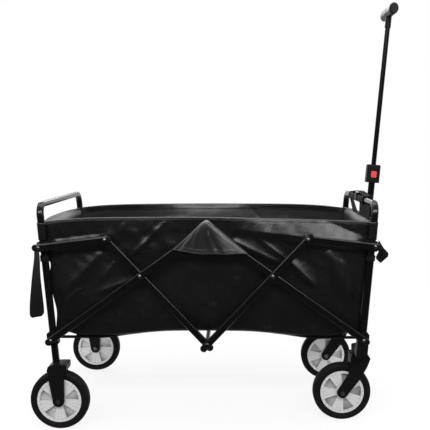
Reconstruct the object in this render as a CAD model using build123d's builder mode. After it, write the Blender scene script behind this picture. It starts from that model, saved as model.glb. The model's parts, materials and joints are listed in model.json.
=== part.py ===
"""Folding utility wagon: two end frames, double scissor sides, cloth bag, casters and a pull handle.

Frame of the model: +X points to the front (pull handle), +Y to the wagon's left, +Z up.
The origin lies on the ground, below the middle of the whole outline. Sizes are in millimetres.
"""
import os
from math import atan2, cos, hypot, radians, sin, tan

from build123d import *

os.makedirs("parts", exist_ok=True)

# Clearances
run_gap = 0.05  # shaft in a turning bore, on the radius
fit_gap = 0.1  # fixed piece round a tube
soft_gap = 0.3  # cloth beside its neighbours
face_gap = 0.5  # turning faces beside each other

# Wheels
wheel_r = 80.0
tyre_w = 30.0
tyre_wall = 22.5
tread_flat = 16.0
lip_h = 2.5
lip_w = 1.4
ring_wall = 4.0
web_half = 12.6  # spoke faces from the wheel's middle plane
pocket_depth = 8.6
pocket_count = 5
pocket_inner_r = 18.0
pocket_inner_w = 6.0
pocket_half_angle = 17.0
hub_r = 14.0
hub_w = 34.0
axle_r = 4.0
rear_wheel_out = 14.0  # rear wheel's middle outside the post's middle line
front_track = 336.0
rear_hub_in = 18.0  # rear hubs towards the middle from the low pivots
swivel_in = 1.5  # caster stems towards the middle from the low pivots

# End frames: one bent tube each, leaning outwards
lean = 4.5
frame_w = 458.0  # centre to centre of the two posts
tube_x = 19.0
tube_y = 16.0
tube_round = 6.5
tube_wall = 1.5
bend_r = 30.0
low_pivot_x = 418.5
pivot_rise = 56.0  # low pivot above the casters' crowns
high_rise = 252.0  # high pivot above the low one
loop_rise = 371.0  # loop's top above the low pivot
high_pivot_out = 6.5  # the upper pin stands outside the post's middle line
rear_socket = 15.0
front_foot_rise = 12.0
cross_tube_r = 9.5

# Scissor bars on each side
cross_x = 176.0
top_rise = 302.0  # top joint above the low pivot
short_bar_angle = 46.8
short_bar_tail = 134.0
bar_w = 19.0
bar_t = 9.0
bar_wall = 1.5
bar_over = 8.0
bottom_over = 11.6
pin_r = 3.0
pin_head_r = 5.0
pin_head_h = 2.4
head_flat = 0.9
cap_tongue = 3.5
cap_bevel = 2.6
layer_gap = 1.0
rod_r = 6.0
rod_head_r = 8.5

# Moulded brackets
bracket_x = 30.0
bracket_cheek = 4.5
low_bracket_h = 36.0
high_bracket_h = 28.0
spacer_r = 10.0

# Forks and casters
leg_t = 6.0
crown_round = 2.4
caster_round = 6.0
wheel_slot_gap = 3.0
fork_rise = 22.0  # rear crown above the tyre
fork_inset = 4.0  # the fork's crown wraps this far inside the post
caster_rise = 30.0  # caster crown above the tyre
caster_trail = 44.0
stem_r = 6.0
stem_h = 17.0
boss_r = 18.0
boss_h = 21.0
mount_h = 44.0
mount_arm_w = 26.0
bolt_head_r = 7.0
bolt_head_h = 4.0

# Pull handle
handle_lean = 4.8
handle_pivot_out = 28.5
handle_pivot_drop = 8.0
handle_pin_r = 4.0
outer_r = 9.5
outer_wall = 1.5
inner_r = 7.0
inner_wall = 1.2
outer_start = 18.0
outer_end = 430.0
block_start = 417.5
block_h = 53.0
block_x = 39.0
block_y = 34.0
inner_start = 400.0
neck_start = 867.0
neck_r = 8.6
grip_at = 911.0
grip_len = 124.0
grip_half_x = 13.0
grip_half_z = 16.0
grip_bevel = 3.0
bush_h = 12.0
foot_eye_r = 12.0
foot_w = 23.0
foot_plug = 30.0
ear_t = 6.0
clamp_wall = 2.2
button_w = 16.6
button_h = 19.0
button_proud = 2.0
button_body = 6.5
button_travel = 4.0
button_at = 442.0
clip_h = 24.0
clip_wall = 4.0

# Cloth
cloth_t = 2.0
panel_in = 4.8  # end cloth behind the posts' middle line
rim_rise = 7.0  # middle of the rim above the hoods
rim_crown = 11.0
floor_rise = 2.5  # bag floor above the cross tubes
mat_t = 8.0
mat_margin = 6.0
mat_groove_w = 4.0
mat_groove_depth = 5.0
flap_top_half = 18.0
flap_bottom_half = 96.0
flap_h = 86.0
flap_lift = 22.0  # hood's top above the top joint
strap_w = 30.0
strap_flare = 11.0  # extra width at the closure strap's loose end
strap_t = 2.0
strap_h = 174.0
tie_w = 25.0
tie_len = 225.0
tie_drop = 11.0
buckle_l = 28.0
buckle_w = 18.0
buckle_t = 5.0
buckle_out = 27.0  # buckle's middle in front of the post
buckle_lift = 5.0
wrap_near = 116.0  # ends of the webbing on the front loop's top bar, from the middle
wrap_far = 129.0
wrap_drop = 50.0
near_tail = (-116.0, -54.0, -50.0, -190.0)  # y of the tails' corners: top pair, then the foot pair
far_tail = (62.0, 92.0, 50.0, 25.0)

# Derived places, as distances from the wagon's middle
caster_top = 2 * wheel_r + caster_rise
fork_top = 2 * wheel_r + fork_rise
low_pivot_z = caster_top + pivot_rise
high_pivot_z = low_pivot_z + high_rise
long_angle = atan2(top_rise, low_pivot_x)
cross_z = low_pivot_z + (low_pivot_x - cross_x) * tan(long_angle)
loop_top = low_pivot_z + loop_rise
rear_post_foot = fork_top - rear_socket
front_post_foot = caster_top + front_foot_rise
mount_top = caster_top + mount_h
handle_pivot_z = low_pivot_z - handle_pivot_drop
bag_bottom = low_pivot_z + cross_tube_r + floor_rise + cloth_t
top_joint_z = low_pivot_z + top_rise
flap_top_z = top_joint_z + flap_lift
flap_bottom_z = flap_top_z - flap_h
rim_mid_z = flap_top_z + rim_rise
rim_z = rim_mid_z - rim_crown
sides = {"right": -1, "left": 1}
ends = {"rear": -1, "front": 1}
half_w = frame_w / 2
rear_track = frame_w + 2 * rear_wheel_out
rear_hub_x = low_pivot_x - rear_hub_in
front_hub_x = low_pivot_x - swivel_in - caster_trail
handle_pivot_x = low_pivot_x + handle_pivot_out
post_out = half_w + tube_y / 2
post_in = half_w - tube_y / 2
cheek_out = post_out + bracket_cheek
inner_layer = cheek_out + layer_gap / 2 + bar_t / 2
outer_layer = inner_layer + bar_t + layer_gap
short_angle = radians(short_bar_angle)
bottom_joint_z = cross_z - cross_x * tan(short_angle)
link_joint_x = cross_x + short_bar_tail * cos(short_angle)
link_joint_z = cross_z + short_bar_tail * sin(short_angle)
grip_front = handle_pivot_x + grip_at * sin(radians(handle_lean)) + grip_half_x
centre_x = -(grip_front - (rear_hub_x + wheel_r)) / 2
cloth_out = post_in - strap_t - 2 * soft_gap
cloth_in = cloth_out - cloth_t


def save(piece, name):
    """Label one finished piece and write it to its own file."""
    piece.part.label = name
    export_step(piece.part, f"parts/{name}.step")


def end_x(end, x):
    """World X of a point that lies x from the wagon's middle, towards one end."""
    return centre_x + end * x


def post_x(z):
    """Distance of a post's middle line from the wagon's middle at height z."""
    return low_pivot_x + (z - low_pivot_z) * tan(radians(lean))


high_pivot_x = post_x(high_pivot_z) + high_pivot_out


def frame_plane(end, z=low_pivot_z):
    """Plane of an end frame: local X across, local Y up the posts, local Z outwards."""
    normal = (end * cos(radians(lean)), 0, -sin(radians(lean)))
    return Plane((end_x(end, post_x(z)), 0, z), x_dir=(0, end, 0), z_dir=normal)


def side_plane(end, z, y):
    """Plane facing -Y on a post's middle line: local X to the front, local Y up the post."""
    along = (cos(radians(lean)), 0, -end * sin(radians(lean)))
    return Plane((end_x(end, post_x(z)), y, z), x_dir=along, z_dir=(0, -1, 0))


def across_plane(end, z, y):
    """Plane square to a post at height z, with local X outwards and local Z up the post."""
    base = frame_plane(end, z)
    return Plane((base.origin.X, y, z), x_dir=base.z_dir, z_dir=base.y_dir)


def middle_plane(y):
    """Plane facing -Y with its zero on the ground below the wagon's middle."""
    return Plane((centre_x, y, 0), x_dir=(1, 0, 0), z_dir=(0, -1, 0))


def hub_plane(x, y):
    """Plane facing -Y with its zero on a wheel's axis: local X to the front, local Y up."""
    return Plane((x, y, wheel_r), x_dir=(1, 0, 0), z_dir=(0, -1, 0))


def rod_along_y(x, z, y_from, y_to, radius, taper=0, mode=Mode.ADD):
    """A round bar parallel to Y, added to or cut from the open part."""
    with BuildSketch(Plane.XZ.offset(-y_from)) as disc:
        with Locations((x, z)):
            Circle(radius)
    extrude(disc.sketch, amount=y_from - y_to, taper=taper, mode=mode)


def dome(x, z, y, rise, radius):
    """Round head on the plane at y, rise high at its middle; a negative rise turns it to -Y."""
    with BuildSketch(Plane((x, y, z), x_dir=(1, 0, 0), z_dir=(0, 0, 1))) as half:
        with BuildLine():
            base = Polyline((head_flat, rise), (0, rise), (0, 0), (radius, 0))
            ThreePointArc(base @ 1, (0.78 * radius, 0.58 * rise), base @ 0)
        make_face()
    revolve(half.sketch, axis=Axis((x, y, z), (0, 1, 0)))


def rivet(x, z, side, y_from, y_to, radius=pin_r, head_r=pin_head_r):
    """A shank along Y with a domed head at its outer end."""
    rod_along_y(x, z, side * y_from, side * y_to, radius)
    dome(x, z, side * y_to, side * pin_head_h, head_r)


def oval(width, thickness):
    """Flat oval of a bar's section, with its width along the local Y axis."""
    SlotOverall(width, thickness, rotation=90)


def bar_run(start, finish):
    """Unit direction and length between two joints given as (x, z)."""
    dx = finish[0] - start[0]
    dz = finish[1] - start[1]
    length = hypot(dx, dz)
    return dx / length, dz / length, length


def flat_bar(start, finish, over_start, over_finish, y, joints):
    """Hollow flat oval bar between two joints, with a round hole at each joint listed."""
    dx, dz, length = bar_run(start, finish)
    foot = (start[0] - dx * over_start, y, start[1] - dz * over_start)
    section = Plane(foot, x_dir=(0, 1, 0), z_dir=(dx, 0, dz))
    with BuildSketch(section) as wall:
        oval(bar_w, bar_t)
        offset(amount=-bar_wall, mode=Mode.SUBTRACT)
    extrude(wall.sketch, amount=length + over_start + over_finish)
    for x, z, radius in joints:
        rod_along_y(x, z, y - bar_t, y + bar_t, radius, mode=Mode.SUBTRACT)


def bar_cap(joint, toward, over, y):
    """Moulded round end of a bar, beyond its last joint, with a tongue inside the tube."""
    dx, dz, _ = bar_run(toward, joint)
    end = (joint[0] + dx * over, y, joint[1] + dz * over)
    section = Plane(end, x_dir=(0, 1, 0), z_dir=(dx, 0, dz))
    flat = bar_t / 2
    rise = bar_w / 2
    with BuildSketch(section) as half:
        with BuildLine():
            Polyline(
                (-flat, 0), (-flat, rise - cap_bevel), (cap_bevel - flat, rise),
                (flat - cap_bevel, rise), (flat, rise - cap_bevel), (flat, 0), close=True,
            )
        make_face()
    revolve(half.sketch, axis=Axis(end, (0, 1, 0)), revolution_arc=180)
    with BuildSketch(section) as tongue:
        Rectangle(bar_t - 2 * bar_wall - 2 * fit_gap, bar_w - bar_t)
    extrude(tongue.sketch, amount=-cap_tongue)


def make_wheel(hub_x, hub_y, prefix, tag, phase):
    """Tyre and spoked rim of one wheel, turning about Y at the hub."""
    hub = (hub_x, hub_y, wheel_r)
    profile = Plane(hub, x_dir=(1, 0, 0), z_dir=(0, 0, 1))
    axle = Axis(hub, (0, 1, 0))
    seat_r = wheel_r - tyre_wall
    half_w_tyre = tyre_w / 2
    bead_half = half_w_tyre - 2.5
    with BuildPart() as tyre:
        with BuildSketch(profile):
            with BuildLine():
                shoulder = wheel_r - 10
                low = Polyline(
                    (shoulder, -half_w_tyre), (seat_r + run_gap, -bead_half),
                    (seat_r + run_gap, bead_half), (shoulder, half_w_tyre),
                )
                crown = Line((wheel_r, tread_flat / 2), (wheel_r, -tread_flat / 2))
                bulge = wheel_r - 2.8
                ThreePointArc(low @ 1, (bulge, half_w_tyre - 1.8), crown @ 0)
                ThreePointArc(crown @ 1, (bulge, 1.8 - half_w_tyre), low @ 0)
            make_face()
        revolve(axis=axle)
    save(tyre, f"{prefix}_tyre_{tag}")
    with BuildPart() as rim:
        ring_in = seat_r - ring_wall
        ring_half = half_w_tyre - 0.2
        with BuildSketch(profile):
            with Locations(((ring_in + seat_r) / 2, 0)):
                Rectangle(ring_wall, 2 * ring_half)
            for edge in (-1, 1):
                with Locations((seat_r + lip_h / 2 - 0.5, edge * (ring_half - lip_w / 2))):
                    Rectangle(lip_h + 1, lip_w)
            with Locations((ring_in / 2, 0)):
                Rectangle(ring_in + 1, 2 * web_half)
            with Locations((hub_r / 2, 0)):
                Rectangle(hub_r, hub_w)
        revolve(axis=axle)
        for way in (-1, 1):
            face = Plane((hub_x, hub_y + way * web_half, wheel_r), x_dir=(1, 0, 0), z_dir=(0, way, 0))
            with BuildSketch(face):
                with BuildSketch(mode=Mode.PRIVATE) as pocket:
                    half = radians(pocket_half_angle)
                    pocket_outer_r = ring_in - 1
                    with BuildLine():
                        low_edge = Line((pocket_inner_r, -pocket_inner_w / 2),
                                        (pocket_outer_r * cos(half), -pocket_outer_r * sin(half)))
                        top_edge = Line((pocket_outer_r * cos(half), pocket_outer_r * sin(half)),
                                        (pocket_inner_r, pocket_inner_w / 2))
                        ThreePointArc(low_edge @ 1, (pocket_outer_r, 0), top_edge @ 0)
                        Line(top_edge @ 1, low_edge @ 0)
                    make_face()
                    fillet(pocket.vertices(), 2)
                with PolarLocations(0, pocket_count, start_angle=-way * phase):
                    add(pocket.sketch)
            extrude(amount=-pocket_depth, mode=Mode.SUBTRACT)
        rod_along_y(hub_x, wheel_r, hub_y - hub_w, hub_y + hub_w, axle_r + run_gap, mode=Mode.SUBTRACT)
    save(rim, f"{prefix}_rim_{tag}")


def axle_bolt(hub_x, hub_y):
    """Shoulder bolt through both fork legs, with a head on each side."""
    reach = hub_w / 2 + face_gap / 2 + leg_t
    rod_along_y(hub_x, wheel_r, hub_y - reach, hub_y + reach, axle_r)
    for way in (-1, 1):
        near = hub_y + way * reach
        rod_along_y(hub_x, wheel_r, near, near + way * bolt_head_h, bolt_head_r, taper=12)


# End frames: bent loop and lower cross tube
def loop_tube(end, foot_z):
    """Bent tube of one end frame, standing on two feet at height foot_z."""
    plane = frame_plane(end)
    foot = (foot_z - low_pivot_z) / cos(radians(lean))
    top = (loop_top - low_pivot_z) / cos(radians(lean)) - tube_y / 2
    with BuildLine(plane) as path:
        FilletPolyline((-half_w, foot), (-half_w, top), (half_w, top), (half_w, foot), radius=bend_r)
    start = plane.from_local_coords((-half_w, foot, 0))
    with BuildSketch(Plane(start, x_dir=plane.z_dir, z_dir=plane.y_dir)) as wall:
        RectangleRounded(tube_x, tube_y, tube_round)
        offset(amount=-tube_wall, mode=Mode.SUBTRACT)
    sweep(wall.sketch, path=path.line)


for name, end in ends.items():
    with BuildPart() as loop:
        loop_tube(end, rear_post_foot if end < 0 else front_post_foot)
    save(loop, f"{name}_loop")

    with BuildPart() as cross_tube:
        x_cross = end_x(end, low_pivot_x)
        rod_along_y(x_cross, low_pivot_z, -post_in, post_in, cross_tube_r)
        rod_along_y(x_cross, low_pivot_z, -half_w, half_w, cross_tube_r - tube_wall, mode=Mode.SUBTRACT)
    save(cross_tube, f"{name}_cross_tube")


# Moulded brackets that carry the pivot pins on the posts
def post_hole(end, y, z_from, z_to):
    """Cut the post's own section, a little larger, out of the open part."""
    with BuildSketch(across_plane(end, z_from, y)) as hole:
        RectangleRounded(tube_x + 2 * fit_gap, tube_y + 2 * fit_gap, tube_round + fit_gap)
    extrude(hole.sketch, amount=(z_to - z_from) / cos(radians(lean)), mode=Mode.SUBTRACT)


def post_bracket(end, side, z, height):
    """U-shaped bracket round the outer half of a post, with a cheek for the pin."""
    with BuildSketch(side_plane(end, z, side * (post_in + fit_gap))) as face:
        RectangleRounded(bracket_x, height, 6)
    extrude(face.sketch, amount=-side * (cheek_out - post_in - fit_gap))
    post_hole(end, side * half_w, z - height, z + height)


def pivot_hole(end, side, x, z):
    """Hole for a pivot pin through a bracket's cheek."""
    rod_along_y(end_x(end, x), z, side * post_out, side * (cheek_out + 2 * bar_t), pin_r + run_gap,
                mode=Mode.SUBTRACT)


with BuildPart() as rear_brackets:
    for side in sides.values():
        for x, z, height in (
            (low_pivot_x, low_pivot_z, low_bracket_h),
            (high_pivot_x, high_pivot_z, high_bracket_h),
        ):
            post_bracket(-1, side, z, height)
            spacer_out = outer_layer - bar_t / 2 - soft_gap
            rod_along_y(end_x(-1, x), z, side * cheek_out, side * spacer_out, spacer_r)
            pivot_hole(-1, side, x, z)
save(rear_brackets, "rear_brackets")

with BuildPart() as front_brackets:
    for side in sides.values():
        post_bracket(1, side, high_pivot_z, high_bracket_h)
        pivot_hole(1, side, high_pivot_x, high_pivot_z)
save(front_brackets, "front_brackets")

pivot_x = end_x(1, handle_pivot_x)
ear_in = foot_w / 2 + face_gap
ear_out = ear_in + ear_t
for name, end in ends.items():
    layer = outer_layer if end < 0 else inner_layer
    with BuildPart() as frame_pins:
        for side in sides.values():
            for x, z in ((low_pivot_x, low_pivot_z), (high_pivot_x, high_pivot_z)):
                rivet(end_x(end, x), z, side, post_out + fit_gap, layer + bar_t / 2 + soft_gap)
            if end > 0:
                rivet(pivot_x, handle_pivot_z, side, 0, ear_out, radius=handle_pin_r)
    save(frame_pins, f"{name}_frame_pins")

# Rear forks, fixed on the rear posts
slot_half = hub_w / 2 + face_gap / 2
with BuildPart() as rear_forks:
    for side in sides.values():
        hub_x = end_x(-1, rear_hub_x)
        hub_y = side * rear_track / 2
        outer_face = hub_y + side * (slot_half + leg_t)
        inner_face = side * (post_in - fork_inset)
        top = fork_top - wheel_r
        with BuildSketch(hub_plane(hub_x, inner_face)) as outline:
            with BuildLine():
                edge = Polyline(
                    (-15.5, 0), (-25, wheel_r - 24), (-25.5, top - 26), (-30, top - 18), (-27, top - 7),
                    (-16, top - 1), (4, top), (24, top), (24, top - 16), (17, top - 26), (16, wheel_r - 20),
                    (15.5, 0),
                )
                ThreePointArc(edge @ 1, (0, -15.5), edge @ 0)
            make_face()
            fillet(outline.vertices().filter_by(lambda point: point.Y > top - 24), crown_round)
        extrude(amount=inner_face - outer_face)
        rod_along_y(hub_x, wheel_r, hub_y - slot_half, hub_y + slot_half, wheel_r + wheel_slot_gap,
                    mode=Mode.SUBTRACT)
        with BuildSketch(hub_plane(hub_x, inner_face)):
            Rectangle(wheel_r, 2 * wheel_r)
        extrude(amount=inner_face - (hub_y - side * (slot_half + leg_t)), mode=Mode.SUBTRACT)
        post_hole(-1, side * half_w, rear_post_foot, fork_top + 40)
        rod_along_y(hub_x, wheel_r, hub_y - 60, hub_y + 60, axle_r + run_gap, mode=Mode.SUBTRACT)
save(rear_forks, "rear_forks")

with BuildPart() as rear_bolts:
    for side in sides.values():
        axle_bolt(end_x(-1, rear_hub_x), side * rear_track / 2)
save(rear_bolts, "rear_axle_bolts")

# Front caster mounts: a sleeve on each post, an arm inwards and a boss for the swivel stem
swivel_x = end_x(1, front_hub_x + caster_trail)
with BuildPart() as caster_mounts:
    for side in sides.values():
        boss_y = side * front_track / 2
        sleeve_low = front_post_foot - 6
        sleeve_in = post_in - fork_inset
        with BuildSketch(side_plane(1, (sleeve_low + mount_top) / 2, side * sleeve_in)):
            RectangleRounded(bracket_x, mount_top - sleeve_low, 5)
        extrude(amount=-side * (cheek_out - sleeve_in))
        post_bracket(1, side, low_pivot_z, low_bracket_h)
        arm_y = side * (front_track / 2 + sleeve_in) / 2
        with BuildSketch(Plane((swivel_x, arm_y, caster_top + face_gap))):
            Rectangle(mount_arm_w, sleeve_in - front_track / 2 + 2)
        extrude(amount=boss_h)
        with BuildSketch(Plane((swivel_x, boss_y, caster_top + face_gap))):
            Circle(boss_r)
        extrude(amount=boss_h)
        with BuildSketch(Plane((swivel_x, boss_y, caster_top))):
            Circle(stem_r + run_gap)
        extrude(amount=stem_h + face_gap, mode=Mode.SUBTRACT)
        post_hole(1, side * half_w, front_post_foot, low_pivot_z + low_bracket_h)
        pivot_hole(1, side, low_pivot_x, low_pivot_z)
save(caster_mounts, "caster_mounts")

# Casters: swivelling fork with its stem, and the axle bolt
for tag, side in sides.items():
    hub_x = end_x(1, front_hub_x)
    hub_y = side * front_track / 2
    outer_face = hub_y + side * (slot_half + leg_t)
    inner_face = hub_y - side * (slot_half + leg_t)
    with BuildPart() as caster_fork:
        top = caster_top - wheel_r
        trail = caster_trail
        with BuildSketch(hub_plane(hub_x, inner_face)) as outline:
            with BuildLine():
                edge = Polyline(
                    (-12, 8.1), (trail - 28, wheel_r - 28), (trail - 23, wheel_r - 2), (trail - 22, top),
                    (trail + 24, top), (trail + 32, top - 12), (trail + 22, wheel_r - 8),
                    (trail + 4, wheel_r / 2), (12, -8.1),
                )
                ThreePointArc(edge @ 1, (-8.1, -12), edge @ 0)
            make_face()
            fillet(outline.vertices().filter_by(lambda point: point.Y > top - 24), caster_round)
        extrude(amount=inner_face - outer_face)
        rod_along_y(hub_x, wheel_r, hub_y - slot_half, hub_y + slot_half, wheel_r + wheel_slot_gap,
                    mode=Mode.SUBTRACT)
        with BuildSketch(Plane((swivel_x, hub_y, caster_top))):
            Circle(stem_r)
        extrude(amount=stem_h)
        rod_along_y(hub_x, wheel_r, hub_y - 60, hub_y + 60, axle_r + run_gap, mode=Mode.SUBTRACT)
    save(caster_fork, f"caster_fork_{tag}")
    with BuildPart() as caster_bolt:
        axle_bolt(hub_x, hub_y)
    save(caster_bolt, f"caster_bolt_{tag}")

# Wheels
for tag, side in sides.items():
    make_wheel(end_x(-1, rear_hub_x), side * rear_track / 2, "rear", tag, 20)
    make_wheel(end_x(1, front_hub_x), side * front_track / 2, "front", tag, 4)

# Scissor bars: a long bar from each low pivot to the top joint, a short bar from the bottom joint
top_joint = (centre_x, top_joint_z)
bottom_joint = (centre_x, bottom_joint_z)
for name, end in ends.items():
    low_joint = (end_x(end, low_pivot_x), low_pivot_z)
    cross_joint = (end_x(end, cross_x), cross_z)
    link_joint = (end_x(end, link_joint_x), link_joint_z)
    high_joint = (end_x(end, high_pivot_x), high_pivot_z)
    long_layer = outer_layer if end < 0 else inner_layer
    short_layer = inner_layer if end < 0 else outer_layer
    turning = pin_r + run_gap

    with BuildPart() as long_bars:
        for side in sides.values():
            holes = [(*low_joint, turning), (*cross_joint, turning)]
            if end < 0:
                holes.append((*top_joint, turning))
            flat_bar(low_joint, top_joint, bar_over, bar_over, side * long_layer, holes)
    save(long_bars, f"{name}_long_bars")

    with BuildPart() as long_caps:
        for side in sides.values():
            bar_cap(low_joint, top_joint, bar_over, side * long_layer)
            bar_cap(top_joint, low_joint, bar_over, side * long_layer)
    save(long_caps, f"{name}_long_bar_caps")

    with BuildPart() as short_bars:
        for side in sides.values():
            holes = [(*bottom_joint, rod_r + run_gap), (*cross_joint, turning)]
            if end > 0:
                holes.append((*link_joint, turning))
            flat_bar(bottom_joint, link_joint, bottom_over, bar_over, side * short_layer, holes)
    save(short_bars, f"{name}_short_bars")

    with BuildPart() as short_caps:
        for side in sides.values():
            bar_cap(bottom_joint, link_joint, bottom_over, side * short_layer)
            bar_cap(link_joint, bottom_joint, bar_over, side * short_layer)
    save(short_caps, f"{name}_short_bar_caps")

    with BuildPart() as links:
        for side in sides.values():
            holes = [(*high_joint, turning)]
            if end < 0:
                holes.append((*link_joint, turning))
            flat_bar(high_joint, link_joint, bar_over, bar_over, side * long_layer, holes)
    save(links, f"{name}_links")

    with BuildPart() as link_caps:
        for side in sides.values():
            bar_cap(high_joint, link_joint, bar_over, side * long_layer)
            bar_cap(link_joint, high_joint, bar_over, side * long_layer)
    save(link_caps, f"{name}_link_caps")

    # Rivets at the crossing, carried by the long bars; heads lie on both faces of the pair
    with BuildPart() as cross_rivets:
        for side in sides.values():
            inside = inner_layer - bar_t / 2 - soft_gap
            rivet(*cross_joint, side, inside, outer_layer + bar_t / 2 + soft_gap)
            rod_along_y(*cross_joint, side * (inside - pin_head_h), side * inside, pin_head_r)
            if end < 0:
                rivet(*top_joint, side, outer_layer - bar_t / 2, outer_layer + bar_t / 2 + soft_gap)
    save(cross_rivets, f"{name}_cross_rivets")

    # Rivet at the link's inner joint, on the outer of the two pieces that meet there
    with BuildPart() as link_rivets:
        for side in sides.values():
            rivet(*link_joint, side, outer_layer - bar_t / 2, outer_layer + bar_t / 2 + soft_gap)
    save(link_rivets, f"{name}_link_rivets")

# Rod through the bottom joints of both sides
with BuildPart() as bottom_rod:
    rod_reach = outer_layer + bar_t / 2 + soft_gap
    rod_along_y(*bottom_joint, -rod_reach, rod_reach, rod_r)
    for side in sides.values():
        dome(*bottom_joint, side * rod_reach, side * pin_head_h, rod_head_r)
save(bottom_rod, "bottom_rod")

# Handle: bracket on the front cross tube, pin, foot, outer tube, lock block, button, inner tube, grip
cross_front_x = end_x(1, low_pivot_x)
handle_axis = (sin(radians(handle_lean)), 0, cos(radians(handle_lean)))
handle_side = (cos(radians(handle_lean)), 0, -sin(radians(handle_lean)))


def handle_plane(s):
    """Plane square to the handle at distance s above its pivot: local X to the front."""
    origin = (pivot_x + s * handle_axis[0], 0, handle_pivot_z + s * handle_axis[2])
    return Plane(origin, x_dir=handle_side, z_dir=handle_axis)


def handle_face(s, y):
    """Plane facing -Y on the handle's middle line, local Y up the handle."""
    origin = (pivot_x + s * handle_axis[0], y, handle_pivot_z + s * handle_axis[2])
    return Plane(origin, x_dir=handle_side, z_dir=(0, -1, 0))


clamp_half = cross_tube_r + clamp_wall
with BuildPart() as handle_bracket:
    with BuildSketch(Plane.XZ.offset(-ear_out)):
        with Locations((cross_front_x, low_pivot_z)):
            RectangleRounded(2 * clamp_half, 2 * clamp_half, 5)
    extrude(amount=2 * ear_out)
    for side in sides.values():
        with BuildSketch(Plane.XZ.offset(-side * ear_in)):
            with BuildLine():
                eye_r = foot_eye_r
                Polyline(
                    (pivot_x, handle_pivot_z + eye_r), (cross_front_x, low_pivot_z + clamp_half),
                    (cross_front_x, low_pivot_z - clamp_half - 4), (pivot_x, handle_pivot_z - eye_r),
                )
                ThreePointArc(
                    (pivot_x, handle_pivot_z - eye_r), (pivot_x + eye_r, handle_pivot_z),
                    (pivot_x, handle_pivot_z + eye_r),
                )
            make_face()
        extrude(amount=-side * ear_t)
    rod_along_y(cross_front_x, low_pivot_z, -ear_out, ear_out, cross_tube_r + fit_gap, mode=Mode.SUBTRACT)
    rod_along_y(pivot_x, handle_pivot_z, -ear_out, ear_out, handle_pin_r + run_gap, mode=Mode.SUBTRACT)
    rod_along_y(pivot_x, handle_pivot_z, -ear_in, ear_in, foot_eye_r + 1, mode=Mode.SUBTRACT)
save(handle_bracket, "handle_bracket")

with BuildPart() as handle_foot:
    rod_along_y(pivot_x, handle_pivot_z, -foot_w / 2, foot_w / 2, foot_eye_r)
    with BuildSketch(handle_plane(0)):
        RectangleRounded(2 * outer_r, 2 * outer_r, outer_r - 1)
    extrude(amount=outer_start)
    with BuildSketch(handle_plane(outer_start)):
        Circle(outer_r - outer_wall - fit_gap)
    extrude(amount=foot_plug)
    rod_along_y(pivot_x, handle_pivot_z, -foot_w, foot_w, handle_pin_r + run_gap, mode=Mode.SUBTRACT)
save(handle_foot, "handle_foot")

with BuildPart() as outer_tube:
    with BuildSketch(handle_plane(outer_start)):
        Circle(outer_r)
        Circle(outer_r - outer_wall, mode=Mode.SUBTRACT)
    extrude(amount=outer_end - outer_start)
save(outer_tube, "handle_outer_tube")

pocket_back = block_y / 2 - (button_body - button_proud) - button_travel
with BuildPart() as lock_block:
    with BuildSketch(handle_plane(block_start)):
        RectangleRounded(block_x, block_y, 9)
    extrude(amount=block_h)
    fillet(lock_block.faces().sort_by(Axis.Z)[-1].edges(), 4)
    with BuildSketch(handle_plane(block_start)):
        Circle(outer_r + fit_gap)
    extrude(amount=outer_end - block_start + fit_gap, mode=Mode.SUBTRACT)
    with BuildSketch(handle_plane(block_start)):
        Circle(inner_r + run_gap)
    extrude(amount=block_h, mode=Mode.SUBTRACT)
    with BuildSketch(handle_face(button_at, -block_y / 2)):
        RectangleRounded(button_w + 2 * soft_gap, button_h + 2 * soft_gap, 3 + soft_gap)
    extrude(amount=-(block_y / 2 - pocket_back), mode=Mode.SUBTRACT)
save(lock_block, "lock_block")

with BuildPart() as lock_button:
    with BuildSketch(handle_face(button_at, -block_y / 2 - button_proud)):
        RectangleRounded(button_w, button_h, 3)
    extrude(amount=-button_body)
    fillet(lock_button.faces().sort_by(Axis.Y)[0].edges(), 1)
save(lock_button, "lock_button")

with BuildPart() as inner_tube:
    with BuildSketch(handle_plane(inner_start)):
        Circle(inner_r)
        Circle(inner_r - inner_wall, mode=Mode.SUBTRACT)
    extrude(amount=grip_at - 20 - inner_start)
save(inner_tube, "handle_inner_tube")

with BuildPart() as tube_bush:
    with BuildSketch(handle_plane(inner_start)):
        Circle(outer_r - outer_wall - run_gap)
        Circle(inner_r + fit_gap, mode=Mode.SUBTRACT)
    extrude(amount=bush_h)
save(tube_bush, "inner_tube_bush")

with BuildPart() as grip:
    with BuildSketch(handle_face(grip_at, grip_len / 2)):
        Ellipse(grip_half_x, grip_half_z)
    extrude(amount=grip_len)
    chamfer(grip.edges().filter_by(GeomType.ELLIPSE), grip_bevel)
    with BuildSketch(handle_plane(neck_start)):
        Circle(neck_r)
    extrude(amount=grip_at - neck_start)
    with BuildSketch(handle_plane(neck_start)):
        Circle(inner_r + fit_gap)
    extrude(amount=grip_at - 20 - neck_start + fit_gap, mode=Mode.SUBTRACT)
save(grip, "handle_grip")

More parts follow.
